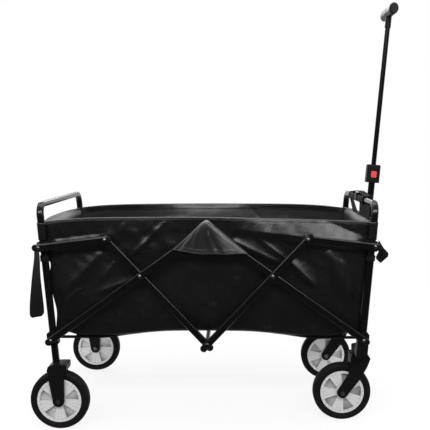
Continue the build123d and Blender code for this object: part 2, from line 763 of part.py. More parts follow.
# Clip on the front loop's top bar, open to the front, that holds the upright handle
bar_mid_z = loop_top - tube_y / 2
bar_mid_x = end_x(1, post_x(bar_mid_z))
clip_s = (bar_mid_z - handle_pivot_z) / handle_axis[2]
tube_at_clip = pivot_x + clip_s * handle_axis[0]
clip_half_y = outer_r + soft_gap + clip_wall
with BuildPart() as handle_clip:
    back = bar_mid_x - tube_x / 2 - clip_wall - tube_at_clip
    front = 4.0
    with BuildSketch(handle_plane(clip_s - clip_h / 2)):
        with Locations(((back + front) / 2, 0)):
            RectangleRounded(front - back, 2 * clip_half_y, 3)
    extrude(amount=clip_h)
    with BuildSketch(handle_plane(clip_s - clip_h)):
        Circle(outer_r + soft_gap)
        with Locations((outer_r, 0)):
            Rectangle(2 * outer_r, 2 * (outer_r + soft_gap))
    extrude(amount=2 * clip_h, mode=Mode.SUBTRACT)
    clip_cut = frame_plane(1, bar_mid_z)
    with BuildSketch(Plane((bar_mid_x, -half_w, bar_mid_z), x_dir=clip_cut.z_dir, z_dir=(0, 1, 0))):
        RectangleRounded(tube_x + 2 * fit_gap, tube_y + 2 * fit_gap, tube_round + fit_gap)
    extrude(amount=frame_w, mode=Mode.SUBTRACT)
save(handle_clip, "handle_clip")

# Cloth bag: two end panels, two side panels, a floor and the folding mat that lies on it
panel_low = (bag_bottom - low_pivot_z) / cos(radians(lean))
panel_high = (rim_z - low_pivot_z) / cos(radians(lean))
for name, end in ends.items():
    with BuildPart() as end_panel:
        with BuildSketch(frame_plane(end).offset(-panel_in)):
            with Locations((0, (panel_low + panel_high) / 2)):
                Rectangle(2 * (cloth_in - soft_gap), panel_high - panel_low)
        extrude(amount=-cloth_t)
    save(end_panel, f"{name}_panel")


def cloth_edge(z):
    """Distance of the side cloth's end edge from the wagon's middle at height z."""
    return post_x(z) - panel_in / cos(radians(lean))


for tag, side in sides.items():
    with BuildPart() as side_panel:
        with BuildSketch(middle_plane(side * cloth_in)):
            low_x = cloth_edge(bag_bottom - cloth_t)
            with BuildLine():
                edge = Polyline(
                    (-cloth_edge(rim_z), rim_z), (-low_x, bag_bottom - cloth_t),
                    (low_x, bag_bottom - cloth_t), (cloth_edge(rim_z), rim_z),
                )
                ThreePointArc(edge @ 1, (0, rim_mid_z), edge @ 0)
            make_face()
        extrude(amount=-side * cloth_t)
    save(side_panel, f"side_panel_{tag}")

# Hoods over the top joints: a short shelf from the rim and a triangle that hangs outside the bars
hang = outer_layer + bar_t / 2 + pin_head_h + 3 * soft_gap
shelf = hang - cloth_out - soft_gap
with BuildPart() as side_flaps:
    for side in sides.values():
        with BuildSketch(middle_plane(side * hang)):
            with BuildLine():
                Polyline(
                    (-flap_top_half, flap_top_z), (-flap_bottom_half, flap_bottom_z),
                    (flap_bottom_half, flap_bottom_z), (flap_top_half, flap_top_z), close=True,
                )
            make_face()
        extrude(amount=-side * cloth_t)
        with BuildSketch(Plane((centre_x, side * (hang - shelf / 2), flap_top_z - cloth_t))):
            Rectangle(2 * flap_top_half, shelf)
        extrude(amount=cloth_t)
save(side_flaps, "side_flaps")

floor_half_x = cloth_edge(bag_bottom) - cloth_t - soft_gap
floor_half_y = cloth_in - soft_gap
with BuildPart() as bag_floor:
    with BuildSketch(Plane((centre_x, 0, bag_bottom - cloth_t))):
        Rectangle(2 * floor_half_x, 2 * floor_half_y)
    extrude(amount=cloth_t)
save(bag_floor, "bag_floor")

with BuildPart() as floor_mat:
    with BuildSketch(Plane((centre_x, 0, bag_bottom + soft_gap))):
        RectangleRounded(2 * (floor_half_x - mat_margin), 2 * (floor_half_y - mat_margin), 12)
    extrude(amount=mat_t)
    fold_step = (floor_half_x - mat_margin) / 2
    with BuildSketch(Plane((centre_x, 0, bag_bottom + soft_gap + mat_t))):
        with GridLocations(fold_step, 0, 3, 1):
            Rectangle(mat_groove_w, 2 * floor_half_y)
    extrude(amount=-mat_groove_depth, mode=Mode.SUBTRACT)
save(floor_mat, "floor_mat")

# Webbing ties from the bag's lower corners to the cross tubes
with BuildPart() as corner_ties:
    tie_top = bag_bottom - cloth_t - soft_gap
    for end in ends.values():
        for side in sides.values():
            tie_out = low_pivot_x - cross_tube_r - soft_gap
            tie_y = side * (post_in - soft_gap - tie_w / 2)
            tie_low = tie_top - tie_drop
            x_out = end_x(end, tie_out)
            x_in = end_x(end, tie_out - tie_len)
            with BuildSketch(Plane.XZ.offset(-(tie_y - tie_w / 2))):
                with BuildLine():
                    Polyline((x_out, tie_low), (x_out, tie_low + strap_t), (x_in, tie_top),
                             (x_in, tie_top - strap_t), close=True)
                make_face()
            extrude(amount=-tie_w)
save(corner_ties, "corner_ties")


# Webbing round the posts: a hanging closure strap at the rear, a short buckle tab at the front
def post_band(end, side, z, height):
    """Webbing band wrapped round a post."""
    with BuildSketch(across_plane(end, z - height / 2, side * half_w)) as ring:
        RectangleRounded(tube_x + 2 * (soft_gap + strap_t), tube_y + 2 * (soft_gap + strap_t),
                         tube_round + soft_gap + strap_t)
        RectangleRounded(tube_x + 2 * soft_gap, tube_y + 2 * soft_gap, tube_round + soft_gap,
                         mode=Mode.SUBTRACT)
    extrude(ring.sketch, amount=height)


band_z = high_pivot_z - high_bracket_h / 2 - strap_w / 2 - 4
band_top = band_z + strap_w / 2
strap_y = -(post_out + soft_gap)
with BuildPart() as closure_strap:
    post_band(-1, -1, band_z, strap_w)
    strap_x = end_x(-1, post_x(band_z))
    strap_low = band_top - strap_h
    with BuildSketch(Plane.XZ.offset(-strap_y)):
        with BuildLine():
            Polyline(
                (strap_x + 5, band_top), (strap_x - bracket_x / 2 - 4, band_top),
                (strap_x - bracket_x / 2 - 5, band_top + 16), (strap_x - bracket_x / 2 - 12, band_top + 14),
                (strap_x - strap_w - strap_flare - 4, strap_low + 8), (strap_x - 4, strap_low), close=True,
            )
        make_face()
    extrude(amount=strap_t)
save(closure_strap, "closure_strap")

def bar_wrap(y_from, y_to):
    """Webbing wound round the front loop's top bar from one y to another."""
    across = Plane((bar_mid_x, y_from, bar_mid_z), x_dir=frame_plane(1).z_dir, z_dir=(0, 1, 0))
    with BuildSketch(across) as ring:
        RectangleRounded(tube_x + 2 * (soft_gap + strap_t), tube_y + 2 * (soft_gap + strap_t),
                         tube_round + soft_gap + strap_t)
        RectangleRounded(tube_x + 2 * soft_gap, tube_y + 2 * soft_gap, tube_round + soft_gap,
                         mode=Mode.SUBTRACT)
    extrude(ring.sketch, amount=y_to - y_from)


wrap_clear = clip_half_y + soft_gap
tab_x = end_x(1, post_x(band_z))
with BuildPart() as buckle_strap:
    post_band(1, -1, band_z, buckle_w)
    with BuildSketch(Plane.XZ.offset(-strap_y)):
        with BuildLine():
            Polyline(
                (tab_x + 2, band_z + 12), (tab_x + bracket_x / 2 + 2, band_top),
                (tab_x + bracket_x / 2 + 4.5, band_top + 28), (tab_x + bracket_x / 2 + 12, band_top + 26),
                (tab_x + 40, band_z + 14), (tab_x + 24, band_z - 8), (tab_x + 2, band_z - 10), close=True,
            )
        make_face()
    extrude(amount=strap_t)
    tail_top = frame_plane(1, bar_mid_z).offset(-tube_x / 2 - soft_gap)
    for y_from, y_to, tail in ((-wrap_near, -wrap_clear, near_tail), (wrap_clear, wrap_far, far_tail)):
        bar_wrap(y_from, y_to)
        with BuildSketch(tail_top):
            with BuildLine():
                Polyline((tail[0], 0), (tail[1], 0), (tail[2], -wrap_drop), (tail[3], -wrap_drop),
                         close=True)
            make_face()
        extrude(amount=-strap_t)
save(buckle_strap, "buckle_strap")

with BuildPart() as strap_buckle:
    buckle_at = (tab_x + buckle_out, strap_y - strap_t - fit_gap, band_z + buckle_lift)
    with BuildSketch(Plane(buckle_at, x_dir=(1, 0, 1), z_dir=(0, -1, 0))):
        RectangleRounded(buckle_l, buckle_w, 4)
        with GridLocations(0, buckle_w / 2 - 1, 1, 2):
            SlotOverall(buckle_l - 14, 4, mode=Mode.SUBTRACT)
    extrude(amount=buckle_t)
save(strap_buckle, "strap_buckle")
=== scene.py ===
"""Looks for the folding wagon with pull handle: cloth bag, webbing, finishes, studio and camera."""

from __future__ import annotations

import json
import logging
from dataclasses import dataclass
from enum import Enum
from typing import Any, Callable, Optional, Sequence, Union

import bmesh
import bpy
import numpy as np
from mathutils import Matrix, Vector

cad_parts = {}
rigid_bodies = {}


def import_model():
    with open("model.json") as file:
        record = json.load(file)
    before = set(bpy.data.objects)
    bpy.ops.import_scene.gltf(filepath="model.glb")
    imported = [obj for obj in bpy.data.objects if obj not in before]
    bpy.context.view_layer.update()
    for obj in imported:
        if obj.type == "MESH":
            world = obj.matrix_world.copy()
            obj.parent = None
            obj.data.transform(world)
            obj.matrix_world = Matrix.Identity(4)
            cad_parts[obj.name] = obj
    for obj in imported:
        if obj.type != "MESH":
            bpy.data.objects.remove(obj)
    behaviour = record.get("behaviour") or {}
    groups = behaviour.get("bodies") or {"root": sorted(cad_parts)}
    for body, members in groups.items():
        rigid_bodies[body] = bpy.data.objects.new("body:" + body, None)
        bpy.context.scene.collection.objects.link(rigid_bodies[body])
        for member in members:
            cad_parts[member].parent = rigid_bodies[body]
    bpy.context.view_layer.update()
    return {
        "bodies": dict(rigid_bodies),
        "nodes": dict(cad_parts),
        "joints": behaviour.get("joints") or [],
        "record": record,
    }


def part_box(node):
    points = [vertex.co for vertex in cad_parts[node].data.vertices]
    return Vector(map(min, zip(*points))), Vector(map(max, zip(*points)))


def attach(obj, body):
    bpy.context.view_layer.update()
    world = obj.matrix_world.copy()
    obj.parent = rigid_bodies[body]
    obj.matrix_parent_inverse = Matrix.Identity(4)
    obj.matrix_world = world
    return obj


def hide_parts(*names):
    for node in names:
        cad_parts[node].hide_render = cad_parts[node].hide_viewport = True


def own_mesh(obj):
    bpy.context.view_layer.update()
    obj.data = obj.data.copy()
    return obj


log = logging.getLogger("wagon")

Array = np.ndarray
Names = tuple[str, ...]
Pair = tuple[float, float]
Point = tuple[float, float, float]
Colour = tuple[float, float, float]
Piece = bpy.types.Object
Material = bpy.types.Material
Frame = dict[str, Any]
FULL_TURN = 6.2832


class Named(Enum):
    """An option whose name, in small letters, is part of the names of nodes and pieces."""

    @property
    def tag(self) -> str:
        """The name in small letters."""
        return self.name.lower()


class End(Named):
    """The two ends of the wagon, by the sign of x."""

    REAR = -1
    FRONT = 1


class Side(Named):
    """The two long sides, by the sign of y."""

    RIGHT = -1
    LEFT = 1


class Coords(Enum):
    """Where a pattern takes its place from."""

    OBJECT = "Object"
    UV = "UV"


# Shader arithmetic


def math_method(operation: str, reflected: bool = False) -> Callable[..., Value]:
    """Make a method that adds one Math node.

    Args:
        operation: the node's operation.
        reflected: put the other value first.

    Returns:
        The method.
    """

    def method(value: Value, *others: Number) -> Value:
        """The operation on this value and the others."""
        return value.sheet.math(operation, *((*others, value) if reflected else (value, *others)))

    return method


class Value:
    """A value socket under Python arithmetic: each operator adds one Math node."""

    __add__, __radd__ = math_method("ADD"), math_method("ADD", True)
    __sub__, __rsub__ = math_method("SUBTRACT"), math_method("SUBTRACT", True)
    __mul__, __rmul__ = math_method("MULTIPLY"), math_method("MULTIPLY", True)
    __truediv__, __rtruediv__ = math_method("DIVIDE"), math_method("DIVIDE", True)
    __pow__, __rpow__ = math_method("POWER"), math_method("POWER", True)
    __lt__, __abs__ = math_method("LESS_THAN"), math_method("ABSOLUTE")
    sine, fract = math_method("SINE"), math_method("FRACT")
    most, least = math_method("MAXIMUM"), math_method("MINIMUM")

    def __init__(self, sheet: NodeSheet, socket: bpy.types.NodeSocket) -> None:
        """Keep the node sheet and the socket that holds the value."""
        self.sheet = sheet
        self.socket = socket

    def ease(self, low: float, high: float, start: float = 0.0, end: float = 1.0) -> Value:
        """Smooth step.

        Args:
            low: value at which the step starts.
            high: value at which it ends.
            start: what it gives before low.
            end: what it gives after high.

        Returns:
            The eased value.
        """
        node = self.sheet.node(
            "ShaderNodeMapRange",
            {"interpolation_type": "SMOOTHSTEP"},
            {"Value": self, "From Min": low, "From Max": high, "To Min": start, "To Max": end},
        )
        return Value(self.sheet, node.outputs["Result"])


Number = Union[Value, float]


class NodeSheet:
    """The node tree of one finish."""

    def __init__(self, tree: bpy.types.NodeTree) -> None:
        """Take an empty tree to fill."""
        self.tree = tree
        tree.nodes.clear()

    def node(
        self, kind: str, settings: Optional[dict[str, Any]] = None, sockets: Optional[dict[Any, Any]] = None
    ) -> bpy.types.Node:
        """Add one node.

        Args:
            kind: the node's type.
            settings: its properties, set first; "stops" gives a ramp's places and colours.
            sockets: values or links for its inputs, by name or index.

        Returns:
            The node.
        """
        made = self.tree.nodes.new(kind)
        for key, value in (settings or {}).items():
            if key == "stops":
                elements = made.color_ramp.elements
                while len(elements) < len(value):
                    elements.new(1.0)
                for element, (place, colour) in zip(elements, value):
                    element.position, element.color = place, (*colour, 1.0)
            else:
                setattr(made, key, value)
        for key, value in (sockets or {}).items():
            self.feed(made.inputs[key], value)
        return made

    def feed(self, socket: bpy.types.NodeSocket, value: Any) -> None:
        """Give an input a link, a number or a colour."""
        if isinstance(value, Value):
            self.tree.links.new(value.socket, socket)
        elif isinstance(value, bpy.types.NodeSocket):
            self.tree.links.new(value, socket)
        elif isinstance(value, tuple) and len(value) == 3 and socket.type == "RGBA":
            socket.default_value = (*value, 1.0)
        else:
            socket.default_value = value

    def math(self, operation: str, *values: Number) -> Value:
        """One Math node on values and numbers."""
        made = self.node("ShaderNodeMath", {"operation": operation}, dict(enumerate(values)))
        return Value(self, made.outputs[0])

    def place(self, coords: Coords, centre: Point = (0, 0, 0), scale: Point = (1, 1, 1)) -> Any:
        """A coordinate, measured from centre and then scaled."""
        source = self.node("ShaderNodeTexCoord").outputs[coords.value]
        move = tuple(-c * s for c, s in zip(centre, scale))
        made = self.node("ShaderNodeMapping", None, {"Vector": source, "Location": move, "Scale": scale})
        return made.outputs[0]

    def split(self, vector: Any) -> tuple[Value, Value, Value]:
        """The three parts of a coordinate."""
        made = self.node("ShaderNodeSeparateXYZ", None, {0: vector})
        across, depth, up = (Value(self, part) for part in made.outputs)
        return across, depth, up

    def noise(self, vector: Any, scale: float, detail: float = 3.0, rough: float = 0.55) -> Value:
        """Soft noise between about 0 and 1."""
        made = self.node(
            "ShaderNodeTexNoise",
            {"noise_dimensions": "3D"},
            {"Vector": vector, "Scale": scale, "Detail": detail, "Roughness": rough},
        )
        return Value(self, made.outputs[0])

    def cells(self, vector: Any, scale: float) -> Value:
        """Distance to the nearest of scattered points."""
        made = self.node("ShaderNodeTexVoronoi", None, {"Vector": vector, "Scale": scale})
        return Value(self, made.outputs["Distance"])

    def attribute(self, name: str) -> Value:
        """A number kept on the piece's points."""
        made = self.node("ShaderNodeAttribute", {"attribute_name": name})
        return Value(self, made.outputs["Fac"])

    def blend(self, share: Number, first: Any, second: Any) -> bpy.types.NodeSocket:
        """Mix two colours: first where share is 0 and second where it is 1."""
        made = self.node("ShaderNodeMix", {"data_type": "RGBA"}, {0: share, 6: first, 7: second})
        return made.outputs[2]

    def bump(self, height: Value, distance: float, strength: float = 1.0) -> bpy.types.NodeSocket:
        """Turn a height into a normal."""
        made = self.node("ShaderNodeBump", None, {"Height": height, "Distance": distance, "Strength": strength})
        return made.outputs[0]

    def surface(self, **sockets: Any) -> None:
        """Finish the tree with one Principled shader; an underscore in a name stands for a space."""
        named = {key.replace("_", " "): value for key, value in sockets.items()}
        shader = self.node("ShaderNodeBsdfPrincipled", None, named)
        self.node("ShaderNodeOutputMaterial", None, {"Surface": shader.outputs[0]})


# Finishes


@dataclass(frozen=True)
class Finish:
    """A named finish that paints its own node sheet."""

    name: str

    def make(self) -> Material:
        """Make the material."""
        material = bpy.data.materials.new(self.name)
        material.use_nodes = True
        self.paint(NodeSheet(material.node_tree))
        return material

    def paint(self, sheet: NodeSheet) -> None:
        """Fill the node sheet; each finish has its own."""
        raise NotImplementedError


@dataclass(frozen=True)
class PowderCoat(Finish):
    """Black powder coat: orange peel, faint scuffs, dust low down."""

    colour: Colour = (0.0016, 0.0016, 0.0017)
    scuffed: Colour = (0.012, 0.012, 0.0125)
    gloss: float = 0.23
    shine: float = 0.31

    def paint(self, sheet: NodeSheet) -> None:
        """Orange peel from fine noise; scuffs where a long thin noise passes a level."""
        at = sheet.place(Coords.OBJECT)
        peel = sheet.noise(at, 750.0, 2.0)
        drift = sheet.noise(at, 18.0, 3.0)
        scuff = sheet.noise(sheet.place(Coords.OBJECT, scale=(60, 400, 60)), 1.0, 4.0).ease(0.66, 0.78)
        low = sheet.split(at)[2].ease(0.36, 0.16) * drift.ease(0.35, 0.75)
        worn = (scuff * 0.35 + low * 0.12).least(1.0)
        sheet.surface(
            Base_Color=sheet.blend(worn, self.colour, self.scuffed),
            Roughness=self.gloss - 0.05 + drift * 0.1 + worn * 0.25,
            Specular_IOR_Level=self.shine,
            Normal=sheet.bump(peel + scuff * 0.4, 0.00012, 0.25),
        )


@dataclass(frozen=True)
class MouldedPlastic(Finish):
    """Black moulded plastic with a fine spark-eroded grain and rubbed spots."""

    colour: Colour = (0.0022, 0.0022, 0.0024)
    rubbed: Colour = (0.006, 0.006, 0.0063)

    def paint(self, sheet: NodeSheet) -> None:
        """Grain from scattered cells; rubbed spots from wide noise."""
        at = sheet.place(Coords.OBJECT)
        grain = sheet.cells(at, 1500.0)
        wide = sheet.noise(at, 30.0, 4.0)
        rubbed = wide.ease(0.52, 0.8)
        sheet.surface(
            Base_Color=sheet.blend(rubbed * 0.6, self.colour, self.rubbed),
            Roughness=0.44 - rubbed * 0.12 + grain * 0.08,
            Specular_IOR_Level=0.14,
            Normal=sheet.bump(grain, 0.00016, 0.45),
        )


@dataclass(frozen=True)
class ZincSteel(Finish):
    """Bright plated steel with fine turning marks and a little tarnish."""

    bright: Colour = (0.16, 0.16, 0.157)
    dull: Colour = (0.07, 0.069, 0.066)

    def paint(self, sheet: NodeSheet) -> None:
        """Tarnish from noise; turning marks from noise drawn out across the axis."""
        at = sheet.place(Coords.OBJECT)
        tarnish = sheet.noise(at, 160.0, 4.0).ease(0.42, 0.72)
        marks = sheet.noise(sheet.place(Coords.OBJECT, scale=(2600, 300, 2600)), 1.0, 2.0)
        sheet.surface(
            Base_Color=sheet.blend(tarnish, self.bright, self.dull),
            Metallic=1.0,
            Roughness=0.22 + tarnish * 0.2 + marks * 0.08,
            Normal=sheet.bump(marks, 0.00004, 0.4),
        )


@dataclass(frozen=True)
class TyreRubber(Finish):
    """Tyre rubber: ringed sidewalls, fine tread texture and dust where it meets the ground."""

    hub: Point = (0.0, 0.0, 0.0)
    radius: float = 0.08
    rubber: Colour = (0.0028, 0.0028, 0.003)
    dust: Colour = (0.010, 0.0095, 0.009)

    def paint(self, sheet: NodeSheet) -> None:
        """Rings follow the distance from the axle; cross ribs follow the angle round it."""
        at = sheet.place(Coords.OBJECT, self.hub)
        across, depth, up = sheet.split(at)
        reach = (across * across + up * up) ** 0.5
        turn = sheet.math("ARCTAN2", up, across)
        rings = (reach * 2600.0).sine() * reach.ease(self.radius - 0.004, self.radius - 0.006)
        ribs = ((turn * 90.0 + abs(depth) * 420.0).sine()).ease(-0.2, 0.6)
        tread = reach.ease(self.radius - 0.003, self.radius - 0.001)
        speck = sheet.noise(at, 420.0, 3.0)
        patch = sheet.noise(at, 26.0, 3.0).ease(0.4, 0.75)
        dusty = (tread * 0.35 + patch * 0.18) * speck.ease(0.3, 0.7)
        sheet.surface(
            Base_Color=sheet.blend(dusty, self.rubber, self.dust),
            Roughness=0.58 + dusty * 0.3 + speck * 0.06,
            Specular_IOR_Level=0.12,
            Normal=sheet.bump(rings * 0.3 + ribs * tread * 0.8 + speck * 0.25, 0.0007, 0.6),
        )


@dataclass(frozen=True)
class RimPlastic(Finish):
    """Silver-grey moulded wheel centre: flow marks, mould rings, dirt towards the tyre and painted shade in its
    pockets.
    """

    hub: Point = (0.0, 0.0, 0.0)
    silver: float = 0.46
    # grey of the painted shade on the pocket floors
    shade: float = 0.17
    grime: Colour = (0.2, 0.195, 0.185)

    def paint(self, sheet: NodeSheet) -> None:
        """Mould rings follow the distance from the axle; painted shade darkens the floors of the five pockets
        round each one.
        """
        at = sheet.place(Coords.OBJECT, self.hub)
        across, deep, up = sheet.split(at)
        reach = (across * across + up * up) ** 0.5
        turn = (sheet.math("ARCTAN2", up, across) / FULL_TURN * 5.0 + 5.25).fract()
        pocket = abs(deep).ease(0.0115, 0.007) * reach.ease(0.06, 0.055)
        # painted shade: each pocket floor is darker on one side, by its angle, as a slanted floor lit from above
        # would be
        painted_pocket_shade = pocket * (0.1 + turn.ease(0.74, 0.26) * (0.45 + reach.ease(0.025, 0.054) * 0.4))
        rings = (reach * 5200.0).sine()
        brush = (turn * 61.0).sine() * (turn * 23.0 + 0.7).sine() * reach.ease(0.012, 0.03)
        flow = sheet.noise(at, 34.0, 3.0)
        speck = sheet.noise(at, 900.0, 2.0)
        grime = (reach.ease(0.05, 0.066) * 0.25 + reach.ease(0.022, 0.014) * 0.25) * flow.ease(0.3, 0.75)
        face = sheet.blend(brush.ease(-0.8, 0.8), (self.silver * 0.9,) * 3, (self.silver * 1.08,) * 3)
        face = sheet.blend(grime, face, self.grime)
        sheet.surface(
            Base_Color=sheet.blend(painted_pocket_shade, face, (self.shade,) * 3),
            Metallic=0.25,
            Roughness=0.4 + flow * 0.1 + grime * 0.2,
            Normal=sheet.bump(rings * 0.35 + speck * 0.3, 0.00008, 0.5),
        )


@dataclass(frozen=True)
class CoatedCloth(Finish):
    """Polyester cloth with a coat on its inner side: plain weave, crinkle, sewn lines."""

    thread: Colour = (0.0016, 0.0016, 0.0018)
    faded: Colour = (0.004, 0.004, 0.0043)
    gloss: float = 0.225
    shine: float = 0.52
    pitch: float = 0.0009
    sewn: tuple[float, ...] = ()
    hem: str = ""
    # pale colour and the height it starts from: a painted highlight on the upper strip
    pale: Optional[Colour] = None
    pale_from: float = 0.535

    def paint(self, sheet: NodeSheet) -> None:
        """Weave from two crossed sines of the cloth's own lengths; stitches are dashes along the sewn lines.

        A pale colour, where one is given, is a painted highlight: it shows above a given height, on the upper
        strip that catches the light.
        """
        where = sheet.place(Coords.UV)
        along, over, _ = sheet.split(where)
        at = sheet.place(Coords.OBJECT)
        turns = FULL_TURN / self.pitch
        warp = (along * turns).sine()
        weft = (over * turns).sine()
        weave = (warp * weft).ease(-1.0, 1.0)
        crinkle = sheet.noise(at, 62.0, 4.0, 0.6)
        wide = sheet.noise(at, 9.0, 3.0)
        rub = sheet.noise(at, 28.0, 4.0).ease(0.55, 0.8)
        tone = (weave * 0.3 + rub * 0.35 + wide * 0.25).least(1.0)
        height = weave * 0.12 + crinkle * 1.0
        stitch: Number = 0.0
        if self.hem:
            edge = sheet.attribute(self.hem)
            dash = ((along + over) / 0.0055).fract() < 0.62
            for line in self.sewn:
                stitch = stitch + (abs(edge - line) < 0.0007) * dash
            # the hem band is raised in the bump and painted lighter: a doubled hem with a painted sheen
            doubled_hem_and_sheen = edge.ease(0.0135, 0.0115)
            tone = (tone + doubled_hem_and_sheen * 0.12 + stitch * 0.6).least(1.0)
            height = height + doubled_hem_and_sheen * 0.5 + stitch * 0.7
        colour = sheet.blend(tone, self.thread, self.faded)
        # painted highlight: lighter above the given height, with a wavy lower edge
        if self.pale:
            high = sheet.split(at)[2] + (wide - 0.5) * 0.012
            colour = sheet.blend(high.ease(self.pale_from, self.pale_from + 0.014), colour, self.pale)
        sheet.surface(
            Base_Color=colour,
            Roughness=self.gloss - 0.06 + wide * 0.1 + weave * 0.06 + rub * 0.08,
            Specular_IOR_Level=self.shine,
            Normal=sheet.bump(height, 0.0011, 0.4),
        )


@dataclass(frozen=True)
class WebbingCloth(Finish):
    """Woven webbing: ribs across, cord edges and a stitched tail."""

    yarn: Colour = (0.0018, 0.0018, 0.002)
    worn: Colour = (0.006, 0.006, 0.0063)

    def paint(self, sheet: NodeSheet) -> None:
        """Chevron ribs follow the webbing's length and width."""
        along, over, _ = sheet.split(sheet.place(Coords.UV))
        at = sheet.place(Coords.OBJECT)
        slant = abs((over / 0.008).fract() - 0.5) * 0.008
        ribs = ((along + slant) * (FULL_TURN / 0.0021)).sine().ease(-1.0, 1.0)
        rows = (over * (FULL_TURN / 0.0013)).sine().ease(-1.0, 1.0)
        fuzz = sheet.noise(at, 300.0, 3.0)
        tone = (ribs * 0.35 + fuzz * 0.3).least(1.0)
        sheet.surface(
            Base_Color=sheet.blend(tone, self.yarn, self.worn),
            Roughness=0.66 + fuzz * 0.15,
            Specular_IOR_Level=0.12,
            Normal=sheet.bump(ribs * 0.7 + rows * 0.4 + fuzz * 0.2, 0.0007, 0.7),
        )


@dataclass(frozen=True)
class MatCloth(Finish):
    """Heavier cloth over the folding floor boards."""

    thread: Colour = (0.007, 0.007, 0.0075)
    faded: Colour = (0.026, 0.026, 0.027)

    def paint(self, sheet: NodeSheet) -> None:
        """Basket weave from crossed sines; dust from noise."""
        along, over, _ = sheet.split(sheet.place(Coords.UV))
        at = sheet.place(Coords.OBJECT)
        weave = ((along * 4200.0).sine() * (over * 4200.0).sine()).ease(-0.6, 0.6)
        dust = sheet.noise(at, 24.0, 4.0).ease(0.45, 0.75)
        crease = sheet.noise(at, 48.0, 3.0)
        sheet.surface(
            Base_Color=sheet.blend((weave * 0.4 + dust * 0.4).least(1.0), self.thread, self.faded),
            Roughness=0.6 + dust * 0.15,
            Specular_IOR_Level=0.3,
            Normal=sheet.bump(weave * 0.3 + crease, 0.0007, 0.5),
        )


@dataclass(frozen=True)
class GripFoam(Finish):
    """Soft moulded grip with a fine closed-cell grain and polished palm marks."""

    colour: Colour = (0.0022, 0.0022, 0.0024)
    polished: Colour = (0.008, 0.008, 0.0083)

    def paint(self, sheet: NodeSheet) -> None:
        """Cells for the grain; rings across the grip for the ribs the palm holds."""
        at = sheet.place(Coords.OBJECT)
        cells = sheet.cells(at, 900.0)
        ribs = (sheet.split(at)[1] * (FULL_TURN / 0.006)).sine().ease(-0.5, 0.5)
        palm = sheet.noise(at, 40.0, 3.0).ease(0.5, 0.75)
        sheet.surface(
            Base_Color=sheet.blend(palm * 0.5, self.colour, self.polished),
            Roughness=0.4 - palm * 0.1,
            Specular_IOR_Level=0.1,
            Normal=sheet.bump(cells * 0.4 + ribs * 0.4, 0.0003, 0.4),
        )


@dataclass(frozen=True)
class RedButton(Finish):
    """Red moulded lock button, polished by the thumb."""

    colour: Colour = (0.46, 0.032, 0.04)
    rubbed: Colour = (0.56, 0.06, 0.07)

    def paint(self, sheet: NodeSheet) -> None:
        """Rubbed spots from noise, grain from cells."""
        at = sheet.place(Coords.OBJECT)
        rubbed = sheet.noise(at, 140.0, 3.0).ease(0.45, 0.75)
        grain = sheet.cells(at, 2200.0)
        sheet.surface(
            Base_Color=sheet.blend(rubbed * 0.5, self.colour, self.rubbed),
            Roughness=0.38 - rubbed * 0.1,
            Normal=sheet.bump(grain, 0.00008, 0.4),
        )


# Surfaces


def cloth_grid(name: str, points: Array, lengths: Optional[Array] = None, flip: bool = False) -> Piece:
    """A mesh from a grid of points.

    Corner (row, column) joins its neighbours in the next row and column. Lengths with one column more than the
    points join the last column to the first.

    Args:
        name: the piece's name.
        points: rows by columns by three.
        lengths: the cloth's own lengths for its UV map, rows by columns by two; the running lengths if not given.
        flip: turn the faces the other way.

    Returns:
        The object, linked to the scene.
    """
    lengths = run_lengths(points) if lengths is None else lengths
    rows, cols = points.shape[:2]
    wide = lengths.shape[1]
    row, col = np.meshgrid(np.arange(rows - 1), np.arange(wide - 1), indexing="ij")
    below, after = row + 1, (col + 1) % cols
    faces = np.stack([row * cols + col, row * cols + after, below * cols + after, below * cols + col], -1)
    marks = np.stack([row * wide + col, row * wide + col + 1, below * wide + col + 1, below * wide + col], -1)
    if flip:
        faces, marks = faces[..., ::-1], marks[..., ::-1]
    mesh = bpy.data.meshes.new(name)
    mesh.vertices.add(rows * cols)
    mesh.vertices.foreach_set("co", points.reshape(-1).astype(np.float32))
    mesh.loops.add(faces.size)
    mesh.loops.foreach_set("vertex_index", faces.reshape(-1).astype(np.int32))
    mesh.polygons.add(faces.size // 4)
    mesh.polygons.foreach_set("loop_start", np.arange(0, faces.size, 4, dtype=np.int32))
    mesh.polygons.foreach_set("use_smooth", np.ones(faces.size // 4, dtype=bool))
    layer = mesh.uv_layers.new(name="lengths")
    layer.data.foreach_set("uv", lengths.reshape(-1, 2)[marks.reshape(-1)].astype(np.float32).reshape(-1))
    mesh.update(calc_edges=True)
    mesh.validate()
    made = bpy.data.objects.new(name, mesh)
    bpy.context.scene.collection.objects.link(made)
    return made


def close_ends(piece: Piece) -> None:
    """Merge points that lie on each other, so that folded ends and poles close."""
    work = bmesh.new()
    work.from_mesh(piece.data)
    bmesh.ops.remove_doubles(work, verts=work.verts, dist=1e-6)
    bmesh.ops.recalc_face_normals(work, faces=work.faces)
    work.to_mesh(piece.data)
    work.free()


def thicken(piece: Piece, thickness: float, offset: float = -1.0, lined: bool = False) -> None:
    """Give a sheet its thickness.

    Args:
        piece: the sheet.
        thickness: in metres.
        offset: -1 builds inwards from the faces, 1 outwards.
        lined: give the new side the second material.
    """
    wall = piece.modifiers.new("thickness", "SOLIDIFY")
    wall.thickness = thickness
    wall.offset = offset
    wall.use_even_offset = False
    wall.material_offset = 1 if lined else 0


def mark_points(piece: Piece, name: str, values: Array) -> None:
    """Keep one number on each point."""
    layer = piece.data.attributes.new(name, "FLOAT", "POINT")
    layer.data.foreach_set("value", values.reshape(-1).astype(np.float32))


